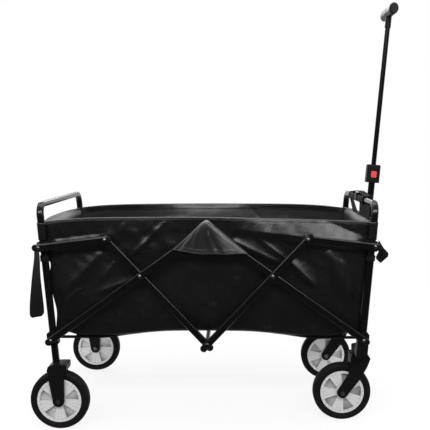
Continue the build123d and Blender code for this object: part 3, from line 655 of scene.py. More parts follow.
def run_lengths(points: Array) -> Array:
    """UV lengths of a grid: the running distance down the rows and along the columns."""
    down = np.linalg.norm(np.diff(points, axis=0), axis=2).mean(axis=1)
    along = np.linalg.norm(np.diff(points, axis=1), axis=2).mean(axis=0)
    first, second = np.concatenate([[0], np.cumsum(down)]), np.concatenate([[0], np.cumsum(along)])
    return np.stack(np.meshgrid(first, second, indexing="ij"), -1)


def step(value: Array, low: float, high: float) -> Array:
    """Smooth step: 0 before low, 1 after high, three t squared less two t cubed between."""
    t = np.clip((value - low) / (high - low), 0.0, 1.0)
    return t * t * (3 - 2 * t)


def bell(value: Array, middle: float, width: Union[float, Array]) -> Array:
    """Bell curve: e to the power of minus the square of the distance from the middle over the width."""
    return np.exp(-(((value - middle) / width) ** 2))


def smoothed(values: Array, reach: int) -> Array:
    """Running mean over reach values on each side, with the end values carried on."""
    count = 2 * reach + 1
    return np.convolve(np.pad(values, reach, "edge"), np.ones(count) / count, "valid")


def ring_angles(count: int) -> Array:
    """Angles round a closed section, as one row."""
    return np.linspace(0, 2 * np.pi, count, endpoint=False)[None, :]


def rounded(turn: Array, power: float, half: Pair) -> tuple[Array, Array]:
    """Rounded rectangle: cosine and sine of the angle, each with its sign kept and its size raised to a power."""
    wide, deep = np.cos(turn), np.sin(turn)
    return np.sign(wide) * np.abs(wide) ** power * half[0], np.sign(deep) * np.abs(deep) ** power * half[1]


def ring_lengths(girth: float, along: Array, count: int) -> Array:
    """UV lengths of a closed section: round its girth one way and along it the other."""
    around = np.linspace(0, girth, count + 1)[None, :] + 0 * along
    return np.stack([around, along + 0 * around], -1)


def dress(piece: Piece, *materials: Material) -> None:
    """Give a new piece its materials in order."""
    for material in materials:
        piece.data.materials.append(material)


def dress_nodes(frame: Frame, finish: Material, *names: str) -> None:
    """Put a finish on every slot of the named CAD nodes."""
    for name in names:
        for slot in frame["nodes"][name].material_slots:
            slot.material = finish
        log.info("dressed %s with %s", name, finish.name)


# Bag


@dataclass(frozen=True)
class Fold:
    """A fold in a hung side: a crease from one point to another, with a hollow flank above it."""

    start: Pair
    end: Pair
    width: float
    slope: float

    def lift(self, x: Array, z: Array) -> Array:
        """Height of the fold.

        The flank steepens as a square down to the crease and rolls back below it as a bell curve.
        Its reach tapers to nothing at both ends as a half ellipse.
        """
        run = np.array(self.end) - np.array(self.start)
        size = float(np.hypot(*run))
        along = ((x - self.start[0]) * run[0] + (z - self.start[1]) * run[1]) / size**2
        off = ((z - self.start[1]) * run[0] - (x - self.start[0]) * run[1]) / size * np.sign(run[0])
        reach = self.width * np.sqrt(np.clip(1 - (2 * along - 1) ** 2, 0, 1)) + 1e-6
        flank = np.where(off > 0, np.clip(1 - off / reach, 0, 1) ** 2, bell(off, 0, 0.35 * reach))
        return 0.5 * self.slope * reach * flank


@dataclass(frozen=True)
class BagShape:
    """The form of the hung bag: rim, bottom, end edges and bulges, in metres from the wagon's middle."""

    middle: float
    lean: float = float(np.tan(np.radians(4.5)))
    low_pivot_x: float = 0.4185
    low_pivot_z: float = 0.246
    post_gap: float = 0.0048
    post_y: float = 0.229
    half_width: float = 0.2182
    end_half: float = 0.2166
    half_length: float = 0.43
    corner: float = 0.011
    floor_z: float = 0.2585
    floor_rise: float = 0.0025
    sag: float = 0.0142
    rim_z: float = 0.5722
    thickness: float = 0.0014
    band_slope: float = 0.215
    band_extra: float = 0.149
    strip_slope: float = 0.27
    roll: float = 0.014
    stand_limits: Pair = (-0.008, 0.0195)
    folds: tuple[Fold, ...] = (
        Fold((-0.108, 0.564), (-0.207, 0.466), 0.020, 0.33),
        Fold((-0.222, 0.560), (-0.245, 0.500), 0.018, 0.24),
        Fold((-0.340, 0.382), (-0.410, 0.327), 0.024, 0.32),
        Fold((-0.246, 0.456), (-0.288, 0.400), 0.022, 0.25),
        Fold((-0.190, 0.412), (-0.310, 0.365), 0.024, 0.17),
        Fold((-0.285, 0.480), (-0.405, 0.356), 0.056, 0.19),
        Fold((0.036, 0.285), (-0.022, 0.2845), 0.040, 0.27),
        Fold((0.122, 0.531), (0.216, 0.459), 0.026, 0.32),
        Fold((0.070, 0.512), (0.199, 0.451), 0.042, 0.27),
        Fold((0.214, 0.465), (0.298, 0.383), 0.038, 0.34),
        Fold((0.325, 0.486), (0.397, 0.338), 0.066, 0.24),
        Fold((0.360, 0.462), (0.392, 0.336), 0.018, 0.26),
        Fold((-0.340, 0.306), (-0.110, 0.281), 0.030, 0.22),
    )

    def post(self, z: Array) -> Array:
        """Distance of a post's middle from the wagon's middle: it leans outwards as it rises."""
        return self.low_pivot_x + (z - self.low_pivot_z) * self.lean

    def edge(self, z: Array, end: End) -> Array:
        """End edge of the cloth: inside the post, and drawn further in between its ties as bell curves."""
        if end is End.REAR:
            drawn = 0.0055 * bell(z, 0.446, 0.016) + 0.0085 * bell(z, 0.318, 0.04)
        else:
            drawn = 0.010 * bell(z, 0.352, 0.045)
        return self.post(z) - self.post_gap - drawn

    def along(self, u: Array, z: Array) -> Array:
        """x at a share u of the length, from -1 at the rear edge to 1 at the front edge."""
        return np.where(u < 0, u * self.edge(z, End.REAR), u * self.edge(z, End.FRONT))

    def rim(self, x: Array, side: Side) -> Array:
        """Height of the rim: level in the middle, and lower at the ends by high powers of the distance."""
        share = np.abs(x) / self.half_length
        drop = np.where(x > 0, 0.016 * share**5, 0.0124 * share**6.3)
        if side is Side.RIGHT:
            drop = np.where(x > 0, 0.011 * share + 0.0033 * share**6, drop)
        return self.rim_z - drop

    def bottom(self, x: Array) -> Array:
        """Height of the floor's underside: it rises a little at the middle."""
        return self.floor_z + self.floor_rise * bell(x, 0, 0.16)

    def low_edge(self, x: Array) -> Array:
        """Height of the side's lower edge: it sags under the floor between the middle and the cross tubes."""
        away = np.abs(x)
        return self.bottom(x) - self.sag * step(away, 0.09, 0.32) * (1 - step(away, 0.338, 0.402))

    def band(self, x: Array, z: Array, rim: Array) -> Array:
        """How far the side stands out above the links.

        At the front the cloth slopes out in a straight line from the rim, or from a line that falls towards the
        post, down to a foot just above the links, and rolls back below it as a bell curve. At the rear only a
        narrow strip just above the links does.
        """
        link = 0.498 + np.clip((0.4448 - np.abs(x)) / 0.1771, 0, 1.4) * 0.0207
        start = np.minimum(rim, 0.5535 - 0.42 * (x - 0.342))
        foot = 0.5413 - 0.1207 * (x - 0.0895)
        tilt = step(x, 0.05, 0.17) * (self.band_slope + self.band_extra * step(x, 0.27, 0.39))
        front = tilt * np.clip(start - z, 0, np.maximum(start - foot, 0))
        front = front * bell(np.maximum(foot - z, 0), 0, self.roll)
        rear = step(-x, 0.24, 0.30) * self.strip_slope * np.clip(link + 0.0145 - z, 0, 0.0085)
        return front + rear * bell(np.maximum(link + 0.006 - z, 0), 0, self.roll)

    def slack(self, x: Array, z: Array) -> Array:
        """Unevenness of the side.

        Products of two crossed sines: one wide, one closer above the rear links and one fine, deeper towards
        the rim. A low bell curve along the side is added.
        """
        wide = 0.0012 * np.sin(17 * x + 9 * z) * np.sin(23 * z - 5 * x + 1.1)
        upper = step(z, 0.46, 0.51) * step(-z, -0.55, -0.525) * step(-x, 0.03, 0.1) * step(x, -0.34, -0.25)
        close = 0.0021 * upper * np.sin(34 * x + 55 * z) * np.sin(47 * x - 21 * z + 0.6)
        fine = np.sin(150 * x + 90 * z + 2 * np.sin(40 * z)) * np.sin(60 * z - 45 * x)
        fine = (0.0003 + 0.0003 * step(z, 0.5, 0.53)) * fine
        return wide + close + fine + 0.0025 * bell(z, 0.33, 0.06)

    def bulge(self, x: Array, z: Array, side: Side) -> Array:
        """How far the side stands out: band, folds and slack, held at the rim.

        The left side takes the right side's form turned end for end and half as deep, with its rim laid out in
        the middle and in at the ends.
        """
        rim = self.rim(x, side)
        free = step(rim - z, -0.002, 0.012)
        if side is Side.LEFT:
            x = -0.97 * x + 0.012
        ridges = sum(fold.lift(x, z) for fold in self.folds)
        stand = self.band(x, z, rim) + (ridges + self.slack(x, z)) * free
        if side is Side.LEFT:
            lay = 0.018 * bell(x, 0.05, 0.19) - 0.007
            stand = 0.5 * stand + lay * np.exp(np.minimum(z - rim, 0) / 0.024)
        return np.clip(stand, *self.stand_limits)

    def skin(self, x: Array, z: Array, side: Side) -> Array:
        """y of the cloth's outer face on one side: the bulge, let in at the end edges and the bottom."""
        near = np.minimum(self.edge(z, End.REAR) + x, self.edge(z, End.FRONT) - x)
        held = step(near, 0.008, 0.036) * step(z, 0.262, 0.31)
        return side.value * (self.half_width + self.bulge(x, z, side) * held)

    def end_skin(self, y: Array, z: Array, end: End) -> Array:
        """x of an end panel's outer face: drawn in at its corners, slack between, its rim laid outwards."""
        share = np.clip(1 - (y / self.end_half) ** 2, 0, 1)
        height = np.clip((z - 0.26) / 0.306, 0, 1)
        slack = 0.004 * share**0.7 * np.sin(np.pi * height**0.8)
        slack = slack + 0.017 * share**0.5 * np.exp((z - 0.562) / 0.021)
        ripple = 0.003 * share * np.sin(21 * y + 6 * z + 0.7) * np.sin(16 * z + 4 * y)
        flat = self.post(z) - self.post_gap
        drawn = (flat - self.edge(z, end)) * bell(np.abs(y), self.end_half, 0.045)
        return self.middle + end.value * (flat - drawn + slack + ripple)


@dataclass(frozen=True)
class HoodShape:
    """The form of a hood, in metres; x is from the wagon's middle and y from its middle line."""

    rear_x: float = -0.086
    front_x: float = 0.108
    point_z: float = 0.5678
    rear_corner_z: float = 0.4955
    front_corner_z: float = 0.4855
    hem_z: float = 0.4818
    hem_gap: float = 0.0016
    least_fall: float = 0.0012
    softness: float = 0.11
    soft_span: float = 0.896
    least_depth: float = 0.0025
    roof_depth: float = 0.0065
    point_depth: float = 0.0372
    face_y: float = 0.2662
    turn: float = 0.005
    turn_share: float = 0.45
    edge_cosine: float = 0.74
    flare: float = 0.41
    strip: float = 0.0065
    strip_growth: float = 0.62
    crease: float = 0.0015
    pinch: float = 0.0022
    thickness: float = 0.0012
    columns: int = 121
    roof_points: int = 14
    bend_points: int = 9
    hang_points: int = 48

    def outline(self, x: Array) -> tuple[Array, Array]:
        """Heights of the roof's edge and of the hem.

        The roof's edge falls from a rounded point in a straight line to each corner. The hem hangs lowest in the
        middle, rises to the corners as a power of the distance and is a little wavy.
        """
        share = np.abs(x) / np.where(x < 0, -self.rear_x, self.front_x)
        corner = np.where(x < 0, self.rear_corner_z, self.front_corner_z)
        soft = np.sqrt(share**2 + self.softness**2) - self.softness
        top = self.point_z + (corner - self.point_z) * soft / self.soft_span
        low = self.hem_z + (corner - self.hem_gap - self.hem_z) * share**1.7 + 0.0006 * np.sin(90 * x)
        return top, np.minimum(low, top - self.least_fall)

    def depth(self, x: Array) -> Array:
        """How far the roof reaches back: most at the point, a turned hem beside it, least at the corners."""
        hem = step(x, -0.066, -0.052) * (1 - step(x, 0.076, 0.092))
        return self.least_depth + self.roof_depth * hem + self.point_depth * (1 - step(np.abs(x), 0.006, 0.026))

    def stand(self, x: Array, z: Array, top: Array) -> Array:
        """How far the hanging face stands out.

        Under the roof's edge it slopes out in a strip that widens towards the front and levels off as an
        exponential. Below the strip it has creases, sines of an angle that fans out from the point, two
        bell-shaped dents and a narrow upright pinch.
        """
        strip = np.where(x < 0, self.strip, self.strip + self.strip_growth * np.clip(x, 0, 0.05))
        flare = self.flare * strip * (1 - np.exp(-np.maximum(top - z, 0) / strip))
        drop = np.clip((self.point_z - z) / 0.082, 0, 1)
        fan = x / np.maximum(0.012 + 0.09 * drop, 0.01)
        crease = np.sin(9.5 * fan + 0.8) + 0.6 * np.sin(21 * fan - 3 * drop) + 0.4 * np.sin(70 * z + 24 * fan)
        dent = 0.0032 * bell(fan, -0.22, 0.2) - 0.0022 * bell(fan, 0.12, 0.14)
        pinch = self.pinch * bell(x, 0.006, 0.003) * step(0.548 - z, 0.0, 0.02)
        inside = step(top - z - np.where(x < 0, 0.004, 0.8 * x), 0.0, 0.012)
        return flare + ((self.crease * crease + dent) * drop + pinch) * inside


@dataclass(frozen=True)
class MatShape:
    """The form of the floor mat, in metres."""

    half_length: float = 0.4012
    half_width: float = 0.2092
    board: float = 0.2006
    edge_round: float = 0.004
    half_thick: float = 0.0034
    lift: float = 0.0052
    groove_depth: float = 0.0045
    groove_width: float = 0.0028
    crown: float = 0.0009
    crown_span: float = 0.44
    fill: float = 0.35
    columns: int = 241
    rows: int = 97


@dataclass
class Bag:
    """The hung cloth bag: trough of two sides and floor, end panels, rim tapes, hoods and floor mat."""

    shape: BagShape
    cloth: Material
    lining: Material
    # a lighter copy of the lining: painted light on the insides of the end panels
    end_lining: Material
    tape: Material
    hood_cloth: Material
    mat_cloth: Material
    hood_shape: HoodShape = HoodShape()
    mat_shape: MatShape = MatShape()
    section_half: float = 0.42
    rows: int = 220
    near_points: int = 114
    far_points: int = 76
    corner_points: int = 6
    floor_points: int = 10
    end_columns: int = 84
    end_rows: int = 64
    leg_points: int = 12
    arc_points: int = 9
    tape_width: float = 0.006
    tape_turn: float = 0.016
    end_turn: float = 0.0045
    tape_rise: float = 0.0018
    tape_gap: float = 0.0004
    tape_thickness: float = 0.0007
    end_low: float = 0.2612
    end_top: float = 0.5590
    end_crown: float = 0.0035
    sleeve_low: float = 0.5145
    sleeve_top: float = 0.561
    sleeve_half: Pair = (0.0103, 0.0089)
    sleeve_girth: float = 0.078
    sleeve_thickness: float = 0.0005
    keep: float = 0.22
    mat_keep: float = 0.208

    def fold_up(self, piece: Piece) -> None:
        """Ride the rear frame with a mesh of its own."""
        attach(piece, "rear_frame")
        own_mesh(piece)
        log.info("bag piece %s", piece.name)

    def stay(self, piece: Piece, end: End) -> None:
        """Ride an end frame without flattening."""
        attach(piece, f"{end.tag}_frame")
        log.info("bag piece %s", piece.name)

    def trough(self) -> Piece:
        """Both sides and the floor as one sheet.

        Each section starts at the right rim, runs down the wall, turns a quarter circle, crosses the floor, which
        hangs lower beside the walls, turns again and climbs to the left rim. Sections run from the rear edge to
        the front edge, and each wall point is moved out by the bulge at its place.

        Returns:
            The sheet.
        """
        form = self.shape
        near = np.linspace(1, 0, self.near_points)[:-1]
        far = np.linspace(0, 1, self.far_points)[1:]
        turn = np.linspace(0, np.pi / 2, self.corner_points)[:-1]
        cross = np.linspace(-1, 1, self.floor_points)
        height = np.concatenate([near, 0 * turn, 0 * cross, 0 * turn, far])
        angle = np.concatenate([0 * near, turn, 0 * cross + np.pi / 2, turn[::-1], 0 * far])
        reach = np.concatenate([-1 + 0 * near, -1 + 0 * turn, cross, 1 + 0 * turn, 1 + 0 * far])
        u = np.linspace(-1, 1, self.rows)[:, None]
        rough_x = u * self.section_half
        right = reach[None, :] < 0
        rim = np.where(right, form.rim(rough_x, Side.RIGHT), form.rim(rough_x, Side.LEFT))
        base = form.low_edge(rough_x)
        lowest = base + form.corner
        z = lowest + height * (rim - lowest) - form.corner * np.sin(angle)
        z = z + (form.bottom(rough_x) - base) * (1 - np.abs(reach) ** 8)
        x = form.along(u, z)
        flat = form.half_width - form.corner
        out = np.where(right, -form.skin(x, z, Side.RIGHT), form.skin(x, z, Side.LEFT)) - form.half_width
        y = reach * flat + np.sign(reach) * (form.corner * np.cos(angle) + out * (height > 0))
        piece = cloth_grid("bag_trough", np.stack([x + form.middle, y, z], -1))
        dress(piece, self.cloth, self.lining)
        self.fold_up(piece)
        thicken(piece, form.thickness, lined=True)
        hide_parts("side_panel_right", "side_panel_left", "bag_floor")
        return piece

    def tape_profile(self, inner: float) -> tuple[Array, Array, Array]:
        """Section of a tape: up the outside, over the edge in a half circle and down the inside.

        Args:
            inner: how far it comes down on the inside.

        Returns:
            Each point's fall below the edge, rise over the edge and side, from 1 outside to -1 inside.
        """
        leg = np.linspace(1, 0, self.leg_points)
        arc = np.linspace(0, np.pi, self.arc_points)[1:-1]
        fall = np.concatenate([leg * self.tape_width, 0 * arc, leg[::-1] * inner])
        climb = np.concatenate([0 * leg, np.sin(arc), 0 * leg]) * self.tape_rise
        return fall, climb, np.concatenate([1 + 0 * leg, np.cos(arc), -1 + 0 * leg])

    def bind(self, where: Named, points: Array, fall: Array) -> Piece:
        """Make a tape from its points, marked with the distance below the edge that its stitches follow."""
        piece = cloth_grid(f"rim_tape_{where.tag}", points, flip=where.value < 0)
        mark_points(piece, "edge", np.broadcast_to(fall, points.shape[:2]))
        dress(piece, self.tape)
        return piece

    def side_tape(self, side: Side) -> Piece:
        """Rim tape of one side: the tape's section carried along the rim."""
        form = self.shape
        fall, climb, into = self.tape_profile(self.tape_turn)
        u = np.linspace(-1, 1, self.rows)[:, None]
        z = form.rim(u * form.half_length, side) - fall
        x = form.along(u, z)
        mid = form.skin(x, z, side) - side.value * form.thickness / 2
        y = mid + side.value * into * (form.thickness / 2 + self.tape_gap)
        piece = self.bind(side, np.stack([x + form.middle, y, z + climb], -1), fall)
        self.fold_up(piece)
        thicken(piece, self.tape_thickness, 1.0)
        return piece

    def end_grid(self) -> tuple[Array, Array]:
        """y across an end panel and the height of its edge there: a parabola, highest in the middle."""
        y = np.linspace(-self.shape.end_half, self.shape.end_half, self.end_columns)[None, :]
        return y, self.end_top + self.end_crown * (1 - (y / self.shape.end_half) ** 2)

    def end_panel(self, end: End) -> Piece:
        """One end panel: a slack sheet between its two corner seams, its rim crowned a little."""
        form = self.shape
        y, top = self.end_grid()
        z = self.end_low + np.linspace(0, 1, self.end_rows)[:, None] * (top - self.end_low)
        x = form.end_skin(y, z, end)
        piece = cloth_grid(f"end_panel_{end.tag}", np.stack([x, y + 0 * x, z], -1), flip=end is End.REAR)
        dress(piece, self.cloth, self.end_lining)
        self.stay(piece, end)
        thicken(piece, form.thickness, lined=True)
        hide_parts(f"{end.tag}_panel")
        return piece

    def end_tape(self, end: End) -> Piece:
        """Rim tape of an end panel: the tape's section carried along its edge."""
        form = self.shape
        fall, climb, into = (part[:, None] for part in self.tape_profile(self.end_turn))
        y, top = self.end_grid()
        z = top - fall
        mid = form.end_skin(y, z, end) - end.value * form.thickness / 2
        x = mid + end.value * into * (form.thickness / 2 + self.tape_gap)
        piece = self.bind(end, np.stack([x, y + 0 * x, z + climb], -1), fall)
        self.stay(piece, end)
        thicken(piece, self.tape_thickness, 1.0)
        return piece

    def hood(self, side: Side) -> Piece:
        """Hood over a top joint.

        Columns stand side by side along the wagon. Each starts behind, passes forwards as a roof, turns down in a
        quarter circle and hangs to the hem, where the face stands out as HoodShape says.

        Returns:
            The sheet.
        """
        form = self.hood_shape
        x = np.linspace(form.rear_x, form.front_x, form.columns)[None, :]
        top, low = form.outline(x)
        turn = np.minimum(form.turn, (top - low) * form.turn_share)
        roof = np.linspace(0, 1, form.roof_points)[:-1, None]
        bend = np.linspace(0, np.pi / 2, form.bend_points)[:-1, None]
        hang = np.linspace(0, 1, form.hang_points)[:, None]
        flat, round_z, front = np.maximum(form.depth(x) - turn, 0), top - turn, form.face_y - turn
        y = np.concatenate([front - flat * (1 - roof), front + turn * np.sin(bend), form.face_y + 0 * hang * x])
        z = np.concatenate([top + 0 * roof, round_z + turn * np.cos(bend), round_z - hang * (round_z - low)])
        hung = np.concatenate([0 * roof, np.sin(bend), 1 + 0 * hang])
        y = side.value * (y + form.stand(x, z, top) * hung)
        points = np.stack([x + self.shape.middle + 0 * z, y, z], -1)
        piece = cloth_grid(f"hood_{side.tag}", points, flip=side is Side.RIGHT)
        mark_points(piece, "edge", np.minimum((top - z) * form.edge_cosine, z - low))
        dress(piece, self.hood_cloth)
        self.fold_up(piece)
        thicken(piece, form.thickness)
        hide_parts("side_flaps")
        return piece

    def sleeve(self, end: End, side: Side) -> Piece:
        """Corner sleeve: cloth sewn round a post above its bracket, a rounded rectangle that follows the lean."""
        form = self.shape
        turn = ring_angles(64)
        z = np.linspace(self.sleeve_low, self.sleeve_top, 24)[:, None]
        height = (z - self.sleeve_low) / (self.sleeve_top - self.sleeve_low)
        loose = 1 + 0.02 * np.sin(3 * turn + 55 * z) * np.sin(np.pi * height)
        wide, deep = rounded(turn, 0.4, self.sleeve_half)
        x = end.value * form.post(z) + wide * loose + form.middle
        points = np.stack([x, side.value * form.post_y + deep + 0 * x, z + 0 * x], -1)
        lengths = ring_lengths(self.sleeve_girth, z, turn.size)
        piece = cloth_grid(f"corner_sleeve_{end.tag}_{side.tag}", points, lengths)
        dress(piece, self.cloth)
        self.stay(piece, end)
        thicken(piece, self.sleeve_thickness, 0.0)
        return piece

    def mat(self) -> Piece:
        """Floor mat of four covered boards.

        The top and the underside meet at a rounded edge all round; the top drops in a narrow bell-shaped groove
        between boards and is crowned as a cosine on each.

        Returns:
            The padded piece.
        """
        form = self.mat_shape
        x = np.linspace(-form.half_length, form.half_length, form.columns)[:, None]
        y = np.linspace(-form.half_width, form.half_width, form.rows)[None, :]
        away = np.minimum(form.half_length - np.abs(x), form.half_width - np.abs(y))
        round_off = np.sqrt(np.clip(1 - (1 - np.clip(away / form.edge_round, 0, 1)) ** 2, 0, 1))
        board = np.abs(((x + form.half_length) / form.board) % 1.0 - 0.5)
        between = np.abs(x) < 1.5 * form.board
        groove = form.groove_depth * bell((0.5 - board) * form.board, 0, form.groove_width) * between
        crown = form.crown * np.cos(np.pi * board) * np.cos(np.pi * y / form.crown_span)
        base = self.shape.bottom(x) + form.lift + 0 * y
        top = base + (form.half_thick + crown - groove) * round_off
        under = base - form.half_thick * round_off
        across = np.concatenate([y + 0 * x, (y + 0 * x)[:, ::-1]], 1)
        height = np.concatenate([top, under[:, ::-1]], 1)
        points = np.stack([x + self.shape.middle + 0 * across, across, height], -1)
        piece = cloth_grid("floor_mat_cover", points, np.concatenate([points, points[:, :1]], 1)[..., :2])
        close_ends(piece)
        dress(piece, self.mat_cloth)
        self.fold_up(piece)
        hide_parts("floor_mat")
        return piece

    def build(self) -> None:
        trough = self.trough()
        tapes = [self.side_tape(side) for side in Side]
        for end in End:
            panel = self.end_panel(end)
            sewn = [self.end_tape(end)] + [self.sleeve(end, side) for side in Side]
        for side in Side:
            hood = self.hood(side)
        self.mat()


# Webbing


@dataclass
class Webbing:
    """Straps: ties under the bag, closure strap on the rear post, buckle tab and webbing on the front loop."""

    shape: BagShape
    yarn: Material
    thickness: float = 0.0016
    tie_width: float = 0.024
    tie_length: float = 0.225
    tie_x: float = 0.4078
    tie_y: float = 0.2082
    tie_drift: float = 0.016
    tie_z: float = 0.2432
    tie_keep: float = 0.3
    band_z: float = 0.465
    band_half: Pair = (0.0107, 0.0092)
    band_girth: float = 0.075
    closure_width: float = 0.040
    closure_length: float = 0.191
    closure_y: float = -0.2320
    closure_z: float = 0.497
    buckle_y: float = -0.2387
    bar_x: float = 0.4469
    bar_z: float = 0.609
    wrap_half: Pair = (0.0109, 0.0094)
    wrap_girth: float = 0.068
    near_wrap: Pair = (-0.107, -0.0147)
    far_wrap: Pair = (0.0147, 0.129)
    tail_z: float = 0.6005
    tail_fall: float = 0.0385
    arch_width: float = 0.019

    def strap(self, name: str, middle: Array, across: Array, width: Array, end: End, node: str) -> Piece:
        """A strap from its middle line.

        Each row lies across the line, from half the width on one side to half on the other.

        Args:
            name: the piece's name.
            middle: points of the line, n by three.
            across: unit vectors across the strap, n by three or one for all.
            width: width at each point.
            end: the end whose frame it rides on.
            node: the CAD node it stands for.

        Returns:
            The piece.
        """
        place = np.linspace(-0.5, 0.5, 9)[None, :, None]
        points = middle[:, None, :] + np.atleast_2d(across)[:, None, :] * place * width[:, None, None]
        return self.hang(cloth_grid(name, points), end, node)

    def hang(self, piece: Piece, end: End, node: str) -> Piece:
        """Give a strap its cloth, frame and thickness, and hide the CAD node it stands for."""
        dress(piece, self.yarn)
        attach(piece, f"{end.tag}_frame")
        thicken(piece, self.thickness, 0.0)
        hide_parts(node)
        log.info("webbing %s", piece.name)
        return piece

    def tie(self, end: End, side: Side) -> None:
        """One tie: straight from the frame, then along the bag's lower edge, drifting inwards."""
        form = self.shape
        t = np.linspace(0, 1, 40)
        x = end.value * (self.tie_x - self.tie_length * t)
        z = np.where(np.abs(x) > 0.33, self.tie_z + 0.0002 * t, form.low_edge(x) - 0.0013)
        y = side.value * (self.tie_y - self.tie_drift * step(t, 0.5, 0.95))
        middle = np.stack([x + form.middle, y, z], -1)
        name = f"corner_tie_{end.tag}_{side.tag}"
        piece = self.strap(name, middle, np.array([0.0, 1.0, 0.0]), 0 * t + self.tie_width, end, "corner_ties")
        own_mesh(piece)

    def band(self, name: str, end: End, height: float, node: str) -> Piece:
        """A band round a right post: a rounded rectangle that follows the post's lean from row to row."""
        form = self.shape
        turn = ring_angles(64)
        rise = np.linspace(-0.5, 0.5, 9)[:, None] * height
        wide, deep = rounded(turn, 0.45, self.band_half)
        z = self.band_z + rise
        x = end.value * form.post(z) + wide + form.middle
        points = np.stack([x, -form.post_y + deep + 0 * x, z + 0 * x], -1)
        return self.hang(cloth_grid(name, points, ring_lengths(self.band_girth, rise, turn.size)), end, node)

    def closure(self) -> None:
        """Closure strap: leaves its band edge on beside the post and turns flat as it hangs.

        Its distance from the post and its turn pass smoothly through a few measured values.
        """
        form = self.shape
        band = self.band("closure_band", End.REAR, 0.016, "closure_strap")
        t = np.linspace(0, 1, 72)
        off = smoothed(np.interp(t, [0.0, 0.17, 0.314, 1.0], [0.022, 0.0195, 0.021, 0.02375]), 6)
        seen = smoothed(np.interp(t, [0.0, 0.293, 0.586, 0.864, 1.0], [0.26, 0.43, 0.71, 0.985, 0.985]), 6)
        twist = np.arccos(seen / 1.0435) - 0.29
        x = -(form.post(np.array(self.band_z)) + off) + form.middle
        y = self.closure_y - 0.0066 * step(t, 0.0, 0.5) - 0.003 * np.sin(np.pi * t)
        middle = np.stack([x, y, self.closure_z - self.closure_length * t], -1)
        across = np.stack([np.cos(twist), -np.sin(twist), 0.2 * step(t, 0.75, 1.0)], -1)
        width = self.closure_width * np.sqrt(1 - 0.6 * (np.clip(t - 0.94, 0, 1) / 0.06) ** 2)
        piece = self.strap("closure_strap_tail", middle, across, width, End.REAR, "closure_strap")

    def buckle_tab(self) -> None:
        """Buckle tab: webbing that leaves the post above its bracket and widens to the buckle.

        Each row runs straight from the tab's left edge to its right edge, and both edges pass through a few
        measured points.
        """
        band = self.band("buckle_band", End.FRONT, 0.014, "buckle_strap")
        t = np.linspace(0, 1, 48)[:, None]
        knots = [0.0, 0.4, 0.6, 0.8, 1.0]
        left_x = np.interp(t, knots, [0.4540, 0.4540, 0.4542, 0.4475, 0.4609])
        left_z = np.interp(t, knots, [0.5120, 0.4930, 0.4822, 0.4690, 0.4536])
        right_x = np.interp(t, knots, [0.4556, 0.4688, 0.4752, 0.4806, 0.4800])
        right_z = np.interp(t, knots, [0.5135, 0.4923, 0.4858, 0.4795, 0.4710])
        across = np.linspace(0, 1, 12)[None, :]
        x = left_x + (right_x - left_x) * across + self.shape.middle
        z = left_z + (right_z - left_z) * across
        tab = cloth_grid("buckle_strap_tab", np.stack([x, self.buckle_y + 0 * x, z], -1))
        piece = self.hang(tab, End.FRONT, "buckle_strap")

    def wrap(self, name: str, run: Pair) -> Piece:
        """Webbing wound round the front loop's top bar: a rounded rectangle carried along the bar."""
        turn = ring_angles(48)
        y = np.linspace(*run, 60)[:, None]
        thick = 1 + 0.045 * np.abs(np.sin(y * 120 + turn / 2))
        wide, tall = (part * thick for part in rounded(turn, 0.5, self.wrap_half))
        x = self.bar_x + wide + tall * self.shape.lean + self.shape.middle
        points = np.stack([x, y + 0 * x, self.bar_z + tall], -1)
        piece = cloth_grid(name, points, ring_lengths(self.wrap_girth, y, turn.size))
        return self.hang(piece, End.FRONT, "buckle_strap")

    def tail(self, name: str, top: Pair, foot: Pair) -> Piece:
        """Webbing hanging under the bar: straight lines from each end of the top to the same end of the foot."""
        fall = np.linspace(0, 1, 26)[:, None]
        across = np.linspace(0, 1, 40)[None, :]
        first, last = (a + (b - a) * fall for a, b in zip(top, foot))
        y = first + (last - first) * across
        z = self.tail_z - self.tail_fall * fall + 0 * y
        ripple = 0.0012 * np.sin(np.pi * across * 3 + 2 * fall) * fall
        x = self.bar_x + (z - self.bar_z) * self.shape.lean - 0.004 - ripple + self.shape.middle
        return self.hang(cloth_grid(name, np.stack([x, y, z], -1), flip=True), End.FRONT, "buckle_strap")

    def bar_webbing(self) -> None:
        """Webbing on the front loop: two wraps, a tail under each, and a slack strap arched between them.

        The arch passes smoothly through a few measured heights.
        """
        near = self.wrap("bar_wrap_near", self.near_wrap)
        far = self.wrap("bar_wrap_far", self.far_wrap)
        left = self.tail("bar_tail_near", (-0.178, -0.030), (-0.192, -0.034))
        right = self.tail("bar_tail_far", (0.082, 0.139), (-0.030, 0.072))
        y = np.linspace(0.127, -0.105, 60)
        knots = [-0.105, -0.096, -0.051, -0.014, 0.030, 0.096, 0.127]
        z = np.interp(y, knots, [0.6196, 0.6206, 0.6255, 0.6282, 0.6278, 0.6215, 0.6196])
        middle = np.stack([0 * y + self.bar_x + 0.002 + self.shape.middle, y, smoothed(z, 4) + 0.0003], -1)
        width = 0 * y + self.arch_width
        arch = self.strap("bar_arch", middle, np.array([1.0, 0.0, 0.0]), width, End.FRONT, "buckle_strap")

    def build(self) -> None:
        """Make every strap."""
        for end in End:
            for side in Side:
                self.tie(end, side)
        self.closure()
        self.buckle_tab()
        self.bar_webbing()


# CAD nodes and their finishes


@dataclass
class CadGroup:
    """A sub-assembly of CAD nodes, sorted by what they are made of."""

    painted: Names = ()
    moulded: Names = ()
    plated: Names = ()

    def dress(self, frame: Frame, paint: Material, plastic: Material, steel: Material) -> None:
        """Put paint, plastic and steel on their nodes."""
        dress_nodes(frame, paint, *self.painted)
        dress_nodes(frame, plastic, *self.moulded)
        dress_nodes(frame, steel, *self.plated)


